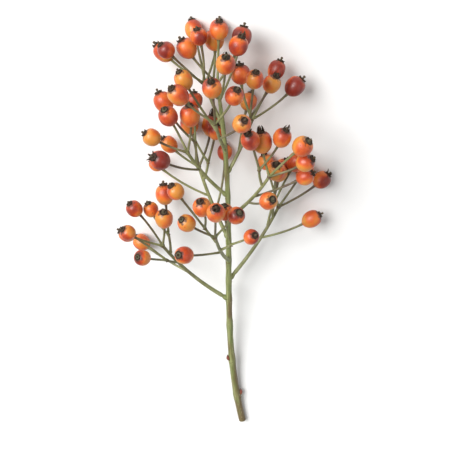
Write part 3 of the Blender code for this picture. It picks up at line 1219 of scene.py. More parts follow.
@dataclass(frozen=True)
class DryCalyx(Finish):
    """The dried remains of the flower: a near-black rim, a grey-green dish and brown styles."""

    name: str = "dry_calyx"
    roughness: float = 0.8
    specular: float = 0.3
    relief: float = 0.0003
    relief_strength: float = 0.7
    rim: Colour = (0.036, 0.019, 0.011, 1)
    dish: Colour = (0.055, 0.027, 0.017, 1)
    green_dish: Colour = (0.105, 0.100, 0.055, 1)
    style: Colour = (0.095, 0.070, 0.042, 1)
    fleck: Colour = (0.150, 0.120, 0.080, 1)
    green_lots: Band = (0.45, 0.75)
    rim_band: Band = (0.22, 0.34)
    style_height: Band = (1.08, 1.20)
    style_reach: Band = (0.24, 0.16)
    own_shift: float = 29.0
    grain: Grain = Grain(14.0, 4.0)
    fleck_band: Band = (0.5, 0.72, 0.0, 0.55)

    def dress(self, bench: NodeBench) -> Dressing:
        """Colours go by the distance from each hip's own axis.

        Args:
            bench: The material's bench.

        Returns:
            The colour, and the height of the relief.
        """
        place = bench.attribute("calyx_place", "Vector")
        lot = bench.attribute("lot")
        x, y, z = bench.add("ShaderNodeSeparateXYZ", Vector=place).outputs
        distance = bench.distance(bench.joined(X=x, Y=y))
        dish = bench.mix(bench.spread(lot, self.green_lots), self.dish, self.green_dish)
        colour = bench.mix(bench.spread(distance, self.rim_band), dish, self.rim)
        styles = bench.times(bench.spread(z, self.style_height), bench.spread(distance, self.style_reach))
        colour = bench.mix(styles, colour, self.style)
        own = bench.shifted(place, bench.joined(Z=bench.times(lot, self.own_shift)))
        grain = bench.noise(own, self.grain)
        return bench.mix(bench.spread(grain, self.fleck_band), colour, self.fleck), grain


@dataclass(frozen=True)
class DryScale(Finish):
    """Dried bracts and leaf scars: papery dark brown with paler edges."""

    name: str = "dry_scale"
    roughness: float = 0.72
    specular: float = 0.35
    brown: Colour = (0.085, 0.040, 0.020, 1)
    pale: Colour = (0.24, 0.15, 0.08, 1)
    clouds: Grain = Grain(260.0, 2.0)
    cloud_band: Band = (0.42, 0.68, 0.0, 0.7)
    grain: Grain = Grain(1100.0, 4.0)
    grain_band: Band = (0.5, 0.75, 0.0, 0.5)

    def dress(self, bench: NodeBench) -> Dressing:
        """Fine grain over both colours.

        Args:
            bench: The material's bench.

        Returns:
            The colour, and the height of the relief.
        """
        place = bench.add("ShaderNodeTexCoord").outputs["Object"]
        grain = bench.noise(place, self.grain)
        clouds = bench.spread(bench.noise(place, self.clouds), self.cloud_band)
        colour = bench.mix(clouds, self.brown, self.pale)
        return bench.mix(bench.spread(grain, self.grain_band), colour, self.pale), grain


@dataclass(frozen=True)
class CutWood(Finish):
    """The cut end of the cane: cream pith, a pale ring of green wood and a dark edge of bark."""

    name: str = "fresh_cut_wood"
    roughness: float = 0.68
    relief: float = 0.00012
    relief_strength: float = 0.6
    pith: Colour = (0.62, 0.54, 0.34, 1)
    wood: Colour = (0.46, 0.47, 0.22, 1)
    bark: Colour = (0.12, 0.15, 0.04, 1)
    grain: Grain = Grain(9.0, 4.0)
    wobble: Band = (0.3, 0.7, -0.05, 0.05)
    pith_edge: Band = (0.40, 0.50)
    wood_edge: Band = (0.86, 0.95)

    def dress(self, bench: NodeBench) -> Dressing:
        """Rings follow the distance from the middle of the cut.

        Args:
            bench: The material's bench.

        Returns:
            The colour, and the height of the relief.
        """
        place = bench.attribute("cut_place", "Vector")
        grain = bench.noise(place, self.grain)
        wavy = bench.total(bench.distance(place), bench.spread(grain, self.wobble))
        colour = bench.mix(bench.spread(wavy, self.pith_edge), self.pith, self.wood)
        return bench.mix(bench.spread(wavy, self.wood_edge), colour, self.bark), grain


@dataclass(frozen=True)
class PaleFloor(Finish):
    """The plain pale floor."""

    name: str = "pale_floor"
    roughness: float = 0.9
    specular: float = 0.1
    paper: Colour = (0.86, 0.86, 0.85, 1)

    def dress(self, bench: NodeBench) -> Dressing:
        """One even colour, and no relief."""
        return self.paper, None


class GeometryTree:
    """A geometry node tree with named inputs, and how it is run on a mesh."""

    def __init__(self, name: str, inputs: dict[str, str]) -> None:
        """Starts the tree.

        Args:
            name: The tree's name.
            inputs: The socket type of each named input.
        """
        self.tree = bpy.data.node_groups.new(name, "GeometryNodeTree")
        self.bench = NodeBench(self.tree)
        face = self.tree.interface
        for label, kind in {"Geometry": "NodeSocketGeometry", **inputs}.items():
            face.new_socket(label, in_out="INPUT", socket_type=kind)
        face.new_socket("Geometry", in_out="OUTPUT", socket_type="NodeSocketGeometry")
        self.entry = self.tree.nodes.new("NodeGroupInput")
        self.exit = self.tree.nodes.new("NodeGroupOutput")

    def given(self, name: str) -> Socket:
        """The tree's input of this name."""
        return self.entry.outputs[name]

    def named(self, name: str, kind: Domain) -> Socket:
        """The field of a named attribute."""
        settings = {"data_type": kind.value}
        return self.bench.add("GeometryNodeInputNamedAttribute", settings, Name=name).outputs["Attribute"]

    def kept(self, geometry: Socket, name: str, kind: Domain, value: Socket) -> Socket:
        """The geometry, with a value kept at each point under a name.

        Args:
            geometry: The geometry.
            name: The attribute's name.
            kind: What each value is.
            value: The value.

        Returns:
            The geometry that has the attribute.
        """
        settings = {"data_type": kind.value}
        inputs = {"Geometry": geometry, "Name": name, "Value": value}
        return self.bench.add("GeometryNodeStoreNamedAttribute", settings, **inputs).outputs["Geometry"]

    def close(self, geometry: Socket) -> None:
        """Ends the tree: instances are made real and get the material.

        Args:
            geometry: What the tree has built.
        """
        real = self.bench.add("GeometryNodeRealizeInstances", Geometry=geometry).outputs[0]
        worn = self.bench.add("GeometryNodeSetMaterial", Geometry=real, Material=self.given("Material"))
        self.tree.links.new(worn.outputs[0], self.exit.inputs[0])

    def run(self, name: str, mesh: bpy.types.Mesh, values: dict[str, object]) -> bpy.types.Object:
        """Runs the tree on a mesh and keeps the result as a plain object, pressed flat at the table.

        Args:
            name: The new object's name.
            mesh: The mesh that goes in.
            values: A value for each named input.

        Returns:
            The object, with no modifier left.
        """
        carrier = new_object(name + "_carrier", mesh)
        modifier = carrier.modifiers.new("Grow", "NODES")
        modifier.node_group = self.tree
        for item in self.tree.interface.items_tree:
            if item.in_out == "INPUT" and item.name in values:
                modifier[item.identifier] = values[item.name]
        bpy.context.view_layer.update()
        graph = bpy.context.evaluated_depsgraph_get()
        made = bpy.data.meshes.new_from_object(carrier.evaluated_get(graph), depsgraph=graph)
        made.name = name
        bpy.data.objects.remove(carrier)
        rest_on_table(made)
        return new_object(name, made)


class TubeTree(GeometryTree):
    """Turns the edges of a mesh into smooth round tubes, as thick as its thickness attribute says."""

    def __init__(self) -> None:
        """Builds the tree."""
        inputs = {"Spacing": "NodeSocketFloat", "Sides": "NodeSocketInt", "Material": "NodeSocketMaterial"}
        super().__init__("round_shoots", inputs)
        bench = self.bench
        lines = bench.add("GeometryNodeMeshToCurve", Mesh=self.given("Geometry")).outputs[0]
        spline = {"spline_type": "CATMULL_ROM"}
        smooth = bench.add("GeometryNodeCurveSplineType", spline, Curve=lines).outputs[0]
        spacing = {"Length": self.given("Spacing")}
        even = bench.add("GeometryNodeResampleCurve", {"mode": "LENGTH"}, Curve=smooth, **spacing).outputs[0]
        run = bench.add("GeometryNodeSplineParameter").outputs["Length"]
        measured = self.kept(even, "run", Domain.NUMBER, run)
        circle = bench.add("GeometryNodeCurvePrimitiveCircle", Resolution=self.given("Sides"), Radius=1.0)
        corner = bench.add("GeometryNodeInputPosition").outputs[0]
        ring = self.kept(circle.outputs["Curve"], "ring", Domain.VECTOR, corner)
        tube = bench.add(
            "GeometryNodeCurveToMesh",
            Curve=measured,
            Profile_Curve=ring,
            Scale=self.named("thickness", Domain.NUMBER),
            Fill_Caps=True,
        ).outputs[0]
        self.close(bench.add("GeometryNodeSetShadeSmooth", Geometry=tube).outputs[0])


class RepeatTree(GeometryTree):
    """Sets a copy of one of several shapes on every point, turned and sized by the point's attributes."""

    def __init__(self) -> None:
        """Builds the tree."""
        inputs = {"Shapes": "NodeSocketCollection", "Material": "NodeSocketMaterial"}
        super().__init__("set_on_points", inputs)
        shapes = self.bench.add(
            "GeometryNodeCollectionInfo",
            Collection=self.given("Shapes"),
            Separate_Children=True,
            Reset_Children=True,
        ).outputs[0]
        angles = self.named("turn", Domain.VECTOR)
        turn = self.bench.add("FunctionNodeEulerToRotation", Euler=angles).outputs[0]
        copies = self.bench.add(
            "GeometryNodeInstanceOnPoints",
            Points=self.given("Geometry"),
            Instance=shapes,
            Pick_Instance=True,
            Instance_Index=self.named("kind", Domain.WHOLE),
            Rotation=turn,
            Scale=self.named("size", Domain.VECTOR),
        )
        self.close(copies.outputs[0])


@dataclass
class Tubes:
    """The centre lines of some tubes, gathered for one run of the tube tree."""

    places: list[Vector] = field(default_factory=list)
    edges: list[tuple[int, int]] = field(default_factory=list)
    thickness: list[float] = field(default_factory=list)
    along: list[float] = field(default_factory=list)
    lots: list[float] = field(default_factory=list)

    def add(self, points: list[Vector], radii: list[float], along: Pair, lot: float) -> None:
        """Adds a tube.

        Args:
            points: Its centre line.
            radii: Its radius at each point.
            along: How far up its stalk it starts and ends, for its colour.
            lot: Its own draw from 0 to 1.
        """
        first = len(self.places)
        count = len(points)
        self.places += points
        self.edges += [(first + i, first + i + 1) for i in range(count - 1)]
        self.thickness += radii
        self.along += [between(along, i / (count - 1)) for i in range(count)]
        self.lots += [lot] * count

    def mesh(self, name: str) -> bpy.types.Mesh:
        """The mesh of edges that the tube tree takes.

        Args:
            name: The mesh's name.

        Returns:
            The mesh, with the values of the tubes at its points.
        """
        mesh = bpy.data.meshes.new(name)
        mesh.from_pydata(self.places, self.edges, [])
        store(mesh, "thickness", Domain.NUMBER, self.thickness)
        store(mesh, "along", Domain.NUMBER, self.along)
        store(mesh, "lot", Domain.NUMBER, self.lots)
        return mesh


@dataclass
class Spots:
    """Places for copies of a shape, gathered for one run of the repeat tree."""

    places: list[Vector] = field(default_factory=list)
    turns: list[Triple] = field(default_factory=list)
    sizes: list[Triple] = field(default_factory=list)
    kinds: list[int] = field(default_factory=list)
    lots: list[float] = field(default_factory=list)
    ripeness: list[float] = field(default_factory=list)

    def add(
        self, place: Vector, turn: Matrix, size: Triple, kind: int, lot: float, ripe: float = 0.0
    ) -> None:
        """Adds a place.

        Args:
            place: Where the copy's own origin goes.
            turn: How it is turned.
            size: How it is sized along its own axes.
            kind: Which of the shapes it is.
            lot: Its own draw from 0 to 1.
            ripe: How ripe it is, from 0 to 1.
        """
        self.places.append(place)
        self.turns.append(tuple(turn.to_euler("XYZ")))
        self.sizes.append(size)
        self.kinds.append(kind)
        self.lots.append(lot)
        self.ripeness.append(ripe)

    def mesh(self, name: str) -> bpy.types.Mesh:
        """The mesh of points that the repeat tree takes.

        Args:
            name: The mesh's name.

        Returns:
            The mesh, with the values of the copies at its points.
        """
        mesh = bpy.data.meshes.new(name)
        mesh.from_pydata(self.places, [], [])
        store(mesh, "turn", Domain.VECTOR, self.turns)
        store(mesh, "size", Domain.VECTOR, self.sizes)
        store(mesh, "kind", Domain.WHOLE, self.kinds)
        store(mesh, "lot", Domain.NUMBER, self.lots)
        store(mesh, "ripeness", Domain.NUMBER, self.ripeness)
        return mesh


def shape_collection(name: str, meshes: list[bpy.types.Mesh]) -> bpy.types.Collection:
    """Gathers templates for the repeat tree.

    Args:
        name: The collection's name.
        meshes: The mesh of each template.

    Returns:
        The collection of template objects, outside the scene, in the order of the meshes.
    """
    home = bpy.data.collections.new(name)
    for index, mesh in enumerate(meshes):
        home.objects.link(bpy.data.objects.new(f"{name}_{index:02d}", mesh))
    return home


def aimed(axis: Vector, roll: float) -> Matrix:
    """The turn that points +Z along axis and rolls about it."""
    return axis.to_track_quat("Z", "Y").to_matrix() @ Matrix.Rotation(roll, 3, "Z")


@dataclass
class HipShapes:
    """The hip templates: round fruit with a tapered foot and a short neck under the calyx."""

    sides: int = 28
    bellies: tuple[float, ...] = (0.0, 0.05, -0.06, 0.10, -0.02)
    kind_step: float = 7.0
    dent_scale: float = 1.1
    dent_depth: float = 0.030
    ribs: int = 5
    rib_depth: float = 0.008
    profile: Profile = (
        (0.0, -1.06), (0.15, -1.075), (0.22, -1.060), (0.35, -1.005), (0.52, -0.915),
        (0.70, -0.760), (0.85, -0.555), (0.955, -0.300), (1.00, -0.030), (0.990, 0.235),
        (0.935, 0.470), (0.835, 0.670), (0.70, 0.815), (0.57, 0.900), (0.475, 0.945),
        (0.425, 0.985), (0.0, 0.995),
    )

    def build(self) -> bpy.types.Collection:
        """Every kind of hip, each of half width 1 with its calyx along +Z."""
        return shape_collection("hip_shapes", [self.hip(kind) for kind in range(len(self.bellies))])

    def hip(self, kind: int) -> bpy.types.Mesh:
        """Builds one kind of hip, a little uneven in its own way.

        Args:
            kind: Its number.

        Returns:
            Its mesh.
        """

        def swell(angle: float, radius: float, height: float) -> Pair:
            """Broad dents and slight ribs, which fade out at the foot.

            Args:
                angle: The angle round the axis.
                radius: The radius there.
                height: The height there.

            Returns:
                The factor on the radius, and the lift.
            """
            x, y = math.cos(angle) * radius, math.sin(angle) * radius
            spot = Vector((x, y, height + self.kind_step * kind))
            dents = noise.noise(spot * self.dent_scale) * self.dent_depth
            ribs = self.rib_depth * math.cos(self.ribs * angle + kind) * min(1.0, radius)
            return 1 + dents + ribs, 0.0

        shape = bmesh.new()
        belly = self.bellies[kind]
        lathe(shape, [(r * (1 + belly * z * (1 - r * r)), z) for r, z in self.profile], self.sides, swell)
        mesh = mesh_of(shape, f"hip_{kind}")
        store_places(mesh, "hip_place")
        return mesh


class Sepals(Enum):
    """What is left of the sepals on a calyx."""

    GONE = 0
    STUMPS = 1
    BEAK = 2
    CURLED = 3


@dataclass(frozen=True)
class Remains:
    """How common such a calyx is, the share of its sepals that are left, their length and their curl."""

    weight: int
    share: float
    length: float
    curl: float


REMAINS = {
    Sepals.GONE: Remains(66, 0.0, 0.0, 0.0),
    Sepals.STUMPS: Remains(18, 0.75, 0.20, 0.25),
    Sepals.BEAK: Remains(10, 1.0, 0.62, -0.85),
    Sepals.CURLED: Remains(6, 0.6, 0.50, 1.35),
}


@dataclass
class CalyxShapes:
    """The calyx templates: a raised rim round a dish, the styles, and what is left of the sepals."""

    sides: int = 20
    sets: int = 2
    seed: int = 41
    seed_step: int = 7
    sepals: int = 5
    rim_radius: float = 0.3
    rim_swell: float = 0.05
    rim_lift: float = 0.028
    style_lobes: int = 3
    style_top: float = 1.3
    top_lumps: float = 0.22
    foot_lumps: float = 0.08
    sepal_radius: float = 0.385
    sepal_height: float = 1.06
    sepal_lengths: Pair = (0.75, 1.15)
    sepal_curls: Pair = (0.8, 1.2)
    inward_lean: float = 0.05
    outward_lean: float = 0.15
    sepal_twists: Pair = (-0.35, 0.35)
    profile: Profile = (
        (0.0, 0.90), (0.38, 0.915), (0.425, 0.955), (0.440, 1.010), (0.465, 1.070),
        (0.450, 1.120), (0.400, 1.135), (0.335, 1.090), (0.265, 1.030), (0.190, 1.020),
        (0.140, 1.050), (0.120, 1.130), (0.110, 1.230), (0.140, 1.330), (0.125, 1.400),
        (0.065, 1.440), (0.0, 1.445),
    )

    def build(self) -> bpy.types.Collection:
        """Every kind of calyx in the order of Sepals, and the same again for each further set."""
        meshes = [self.calyx(kind, lot) for lot in range(self.sets) for kind in Sepals]
        return shape_collection("calyx_shapes", meshes)

    def calyx(self, kind: Sepals, lot: int) -> bpy.types.Mesh:
        """Builds one calyx with its own seeded unevenness.

        Args:
            kind: What is left of its sepals.
            lot: The number of its set.

        Returns:
            Its mesh.
        """
        draw = random.Random(self.seed + kind.value * self.seed_step + lot)
        phase = draw.uniform(0, math.tau)

        def swell(angle: float, radius: float, height: float) -> Pair:
            """Low lobes round the rim, one for each sepal, and lumpy styles.

            Args:
                angle: The angle round the axis.
                radius: The radius there.
                height: The height there.

            Returns:
                The factor on the radius, and the lift.
            """
            if radius > self.rim_radius:
                lobe = math.cos(self.sepals * angle + phase)
                return 1 + self.rim_swell * lobe, self.rim_lift * lobe
            lumps = self.top_lumps if height > self.style_top else self.foot_lumps
            return 1 + lumps * math.cos(self.style_lobes * angle + phase * 2), 0.0

        shape = bmesh.new()
        lathe(shape, self.profile, self.sides, swell)
        for number in range(self.sepals):
            out = spoke((math.tau * number - phase) / self.sepals)
            self.add_sepal(shape, REMAINS[kind], out, draw)
        mesh = mesh_of(shape, f"calyx_{kind.name.lower()}_{lot}")
        store_places(mesh, "calyx_place")
        return mesh

    def add_sepal(self, shape: bmesh.types.BMesh, left: Remains, out: Vector, draw: random.Random) -> None:
        """Adds what is left of one sepal, if anything is.

        Args:
            shape: The calyx that it joins.
            left: What is left of the sepals.
            out: The way outwards where it stands on the rim.
            draw: The source of random draws.
        """
        length = left.length * draw.uniform(*self.sepal_lengths)
        curl = left.curl * draw.uniform(*self.sepal_curls)
        if draw.random() >= left.share:
            return
        lean = self.outward_lean if curl > 0 else self.inward_lean
        twist = draw.uniform(*self.sepal_twists)
        blade = Blade(length, lean, curl, width=0.135, taper=0.6, tip=0.02, flatness=0.38, twist=twist)
        blade.add(shape, out * self.sepal_radius + Vector((0, 0, self.sepal_height)), out)


@dataclass
class ScaleShapes:
    """The small dry parts at forks: a ring of bract scars with two or three pointed bracts."""

    bracts: tuple[int, ...] = (2, 3, 2)
    seed: int = 77
    sides: int = 14
    edge_radius: float = 0.9
    lobes: int = 3
    lobe_depth: float = 0.10
    nicks: int = 7
    nick_depth: float = 0.06
    edge_lift: float = 0.25
    bract_radius: float = 0.9
    bract_height: float = -0.35
    bract_turns: Pair = (-0.4, 0.4)
    bract_lengths: Pair = (0.9, 1.8)
    profile: Profile = (
        (0.0, -0.55), (0.82, -0.50), (1.02, -0.38), (1.05, -0.22), (0.86, -0.12), (0.0, -0.10),
    )

    def build(self) -> bpy.types.Collection:
        """Every kind of fork scale, of radius 1 about +Z."""
        return shape_collection("scale_shapes", [self.scales(kind) for kind in range(len(self.bracts))])

    def scales(self, kind: int) -> bpy.types.Mesh:
        """Builds one ring of scars with its bracts.

        Args:
            kind: Its number.

        Returns:
            Its mesh.
        """
        draw = random.Random(self.seed + kind)

        def swell(angle: float, radius: float, height: float) -> Pair:
            """A worn edge.

            Args:
                angle: The angle round the axis.
                radius: The radius there.
                height: The height there.

            Returns:
                The factor on the radius, and the lift.
            """
            edge = self.lobe_depth * math.cos(self.lobes * angle + kind)
            edge += self.nick_depth * math.cos(self.nicks * angle)
            return 1 + edge * (radius > self.edge_radius), self.edge_lift * edge

        shape = bmesh.new()
        lathe(shape, self.profile, self.sides, swell)
        count = self.bracts[kind]
        for number in range(count):
            out = spoke(math.tau * number / count + draw.uniform(*self.bract_turns))
            length = draw.uniform(*self.bract_lengths)
            blade = Blade(
                length, lean=0.25, bend=0.5, width=0.42, taper=0.8, tip=0.04, flatness=0.3, steps=5
            )
            blade.add(shape, out * self.bract_radius + Vector((0, 0, self.bract_height)), out)
        return mesh_of(shape, f"scales_{kind}")


@dataclass
class Workshop:
    """The trees and templates that every sub-assembly uses, built once."""

    tubes: TubeTree = field(default_factory=TubeTree)
    repeats: RepeatTree = field(default_factory=RepeatTree)
    hips: bpy.types.Collection = field(default_factory=lambda: HipShapes().build())
    calyces: bpy.types.Collection = field(default_factory=lambda: CalyxShapes().build())
    scales: bpy.types.Collection = field(default_factory=lambda: ScaleShapes().build())

    def join(self, name: str, tubes: Tubes, spacing: float, sides: int, finish: Finish) -> bpy.types.Object:
        """Makes the gathered tubes one object with this finish."""
        values = {"Spacing": spacing, "Sides": sides, "Material": finish.make()}
        return self.tubes.run(name, tubes.mesh(name + "_lines"), values)

    def set_out(
        self, name: str, spots: Spots, shapes: bpy.types.Collection, finish: Finish
    ) -> bpy.types.Object:
        """Sets the shapes on the gathered places as one object with this finish."""
        values = {"Shapes": shapes, "Material": finish.make()}
        return self.repeats.run(name, spots.mesh(name + "_points"), values)


def hand_over(piece: bpy.types.Object, slot: str, *nodes: str) -> None:
    """Makes a piece part of the frame: it rides on the sprig and stands for its solids.

    Args:
        piece: The finished piece.
        slot: The name of one of the record's material slots; not used.
        *nodes: The solids that it stands for.
    """
    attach(piece, BODY)
    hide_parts(*nodes)
    LOG.info("%s: %d faces for %s", piece.name, len(piece.data.polygons), ", ".join(nodes))


@dataclass(frozen=True)
class Limb:
    """How a kind of stalk widens at its root and its tip, and its span from green to brown."""

    root_flare: float
    tip_flare: float
    tones: Pair


@dataclass
class Spray:
    """A spray: its branch, stalks and pedicels, its hips, their calyces, and the dry scales at its forks."""

    growth: Growth
    sprig: Sprig
    shop: Workshop
    number: int
    node: str
    seed: int = 500
    stalk_sides: int = 10
    stalk_spacing: float = 0.0012
    branch: Limb = Limb(1.05, 1.15, (0.0, 0.45))
    stalk: Limb = Limb(1.30, 1.15, (0.12, 0.5))
    pedicel: Limb = Limb(1.30, 1.45, (0.3, 1.0))
    pedicel_taper: float = 0.96
    flare_reach: float = 0.0024
    limb_steps: int = 20
    sunk_root: float = 0.0010
    sunk_share: float = 0.5
    knot_steps: tuple[float, ...] = (-1.7, -0.9, 0.0, 0.8, 1.25)
    knot_radii: tuple[float, ...] = (0.62, 0.88, 1.0, 0.72, 0.2)
    knot_tones: Pair = (0.45, 0.6)
    hip_lengths: Pair = (0.95, 1.14)
    family_ripeness: Pair = (0.26, 0.46)
    ripeness_spread: float = 0.16
    ripeness_limits: Pair = (0.04, 0.90)
    calyx_widths: Pair = (0.84, 1.04)
    scale_sizes: Pair = (0.95, 1.1)

    def __post_init__(self) -> None:
        """Seeds the spray's own draws."""
        self.draw = random.Random(self.seed + self.number)

    def build(self) -> None:
        """Builds the spray's pieces and hands them over."""
        self.build_stalks()
        self.build_hips()
        self.build_scales()

    def shoots(self) -> list[Shoot]:
        """The spray's branch and stalks, the branch first."""
        return [shoot for shoot in self.sprig.shoots if shoot.spray == self.number]

    def hips(self) -> list[Hip]:
        """The spray's hips."""
        return [hip for hip in self.sprig.hips if hip.spray == self.number]

    def knots(self) -> list[Knot]:
        """The swellings at the spray's forks."""
        return [knot for knot in self.sprig.knots if knot.spray == self.number]

    def roll(self) -> float:
        """A draw of any angle."""
        return self.draw.uniform(0, math.tau)

    def add_limb(self, tubes: Tubes, look: Limb, line: tuple[Vector, Vector, Vector], radii: Pair) -> None:
        """Adds a stalk that starts inside its carrier and widens where it leaves and where it ends.

        Args:
            tubes: The tubes that it joins.
            look: How it widens and browns.
            line: Its start on its carrier, the control point of its curve, and its end.
            radii: Its radius at the root and at the tip.
        """
        points = curve_points(*line, self.limb_steps)
        length = line_length(points)
        widths = []
        for step in range(len(points)):
            share = step / self.limb_steps
            from_root, from_tip = share * length, (1 - share) * length
            flare = (look.root_flare - 1) * fade(from_root, self.flare_reach)
            flare += (look.tip_flare - 1) * fade(from_tip, self.flare_reach)
            sunk = min(1.0, between((self.sunk_share, 1.0), from_root / self.sunk_root))
            widths.append(between(radii, share) * (1 + flare) * sunk)
        tubes.add(points, widths, look.tones, self.draw.random())

    def build_stalks(self) -> None:
        """Builds the branch, the stalks, the knots at the forks and the pedicels as smooth tubes."""
        tubes = Tubes()
        branch, *stalks = self.shoots()
        sunk = branch.points[0] - branch.heading(0) * self.sunk_root
        line = (sunk, self.middle_bend(branch), branch.points[-1])
        self.add_limb(tubes, self.branch, line, branch.radii)
        for stalk in stalks:
            line = (stalk.points[0], self.middle_bend(stalk), stalk.points[-1])
            self.add_limb(tubes, self.stalk, line, stalk.radii)
        for knot in self.knots():
            ahead = knot.heading * knot.radius
            points = [knot.place + ahead * step for step in self.knot_steps]
            radii = [knot.radius * share for share in self.knot_radii]
            tubes.add(points, radii, self.knot_tones, self.draw.random())
        thickness = self.growth.pedicel_radius
        for hip in self.hips():
            line = (hip.root, hip.bend(), hip.pedicel(1)[-1])
            self.add_limb(tubes, self.pedicel, line, (thickness * self.pedicel_taper, thickness))
        name = self.node + "_stalks"
        made = self.shop.join(name, tubes, self.stalk_spacing, self.stalk_sides, StalkBark())
        hand_over(made, STEM_SLOT, self.node)

    def middle_bend(self, shoot: Shoot) -> Vector:
        """The control point of the curve that a shoot's points lie on.

        Args:
            shoot: The shoot.

        Returns:
            The point, found from the shoot's ends and its middle point.
        """
        start, end, middle = shoot.points[0], shoot.points[-1], shoot.points[len(shoot.points) // 2]
        t = (len(shoot.points) // 2) / (len(shoot.points) - 1)
        return (middle - start * (1 - t) ** 2 - end * t * t) / (2 * t * (1 - t))

    def build_hips(self) -> None:
        """Sets a hip and a calyx on every pedicel, each with its own roll, length and ripeness."""
        draw, shop = self.draw, self.shop
        fruit, calyces = Spots(), Spots()
        family = draw.uniform(*self.family_ripeness)
        least, most = self.ripeness_limits
        weights = [REMAINS[kind].weight for kind in Sepals]
        for hip in self.hips():
            turn = aimed(hip.axis(), self.roll())
            length = hip.radius * draw.uniform(*self.hip_lengths)
            lot = draw.random()
            ripe = min(most, max(least, draw.gauss(family, self.ripeness_spread)))
            kind = draw.randrange(len(HipShapes.bellies))
            fruit.add(hip.centre, turn, (hip.radius, hip.radius, length), kind, lot, ripe)
            left = draw.choices(list(Sepals), weights)[0]
            kind = left.value + len(Sepals) * draw.randrange(CalyxShapes.sets)
            wide = hip.radius * draw.uniform(*self.calyx_widths)
            calyces.add(hip.centre, turn, (wide, wide, length), kind, lot)
        made = shop.set_out(self.node + "_hips", fruit, shop.hips, HipSkin())
        hand_over(made, HIP_SLOT, self.node)
        made = shop.set_out(self.node + "_calyces", calyces, shop.calyces, DryCalyx())
        hand_over(made, HIP_SLOT, self.node)

    def build_scales(self) -> None:
        """Sets dry scales round every fork."""
        spots = Spots()
        for knot in self.knots():
            size = knot.radius * self.draw.uniform(*self.scale_sizes)
            turn = aimed(knot.heading, self.roll())
            kind = self.draw.randrange(len(ScaleShapes.bracts))
            spots.add(knot.place, turn, (size, size, size), kind, self.draw.random())
        made = self.shop.set_out(self.node + "_scales", spots, self.shop.scales, DryScale())
        hand_over(made, STEM_SLOT, self.node)


@dataclass(frozen=True)
class BudPart:
    """The core or a scale of a bud: the side it stands on, and its length and width as shares."""

    side: int
    length: float
    width: float


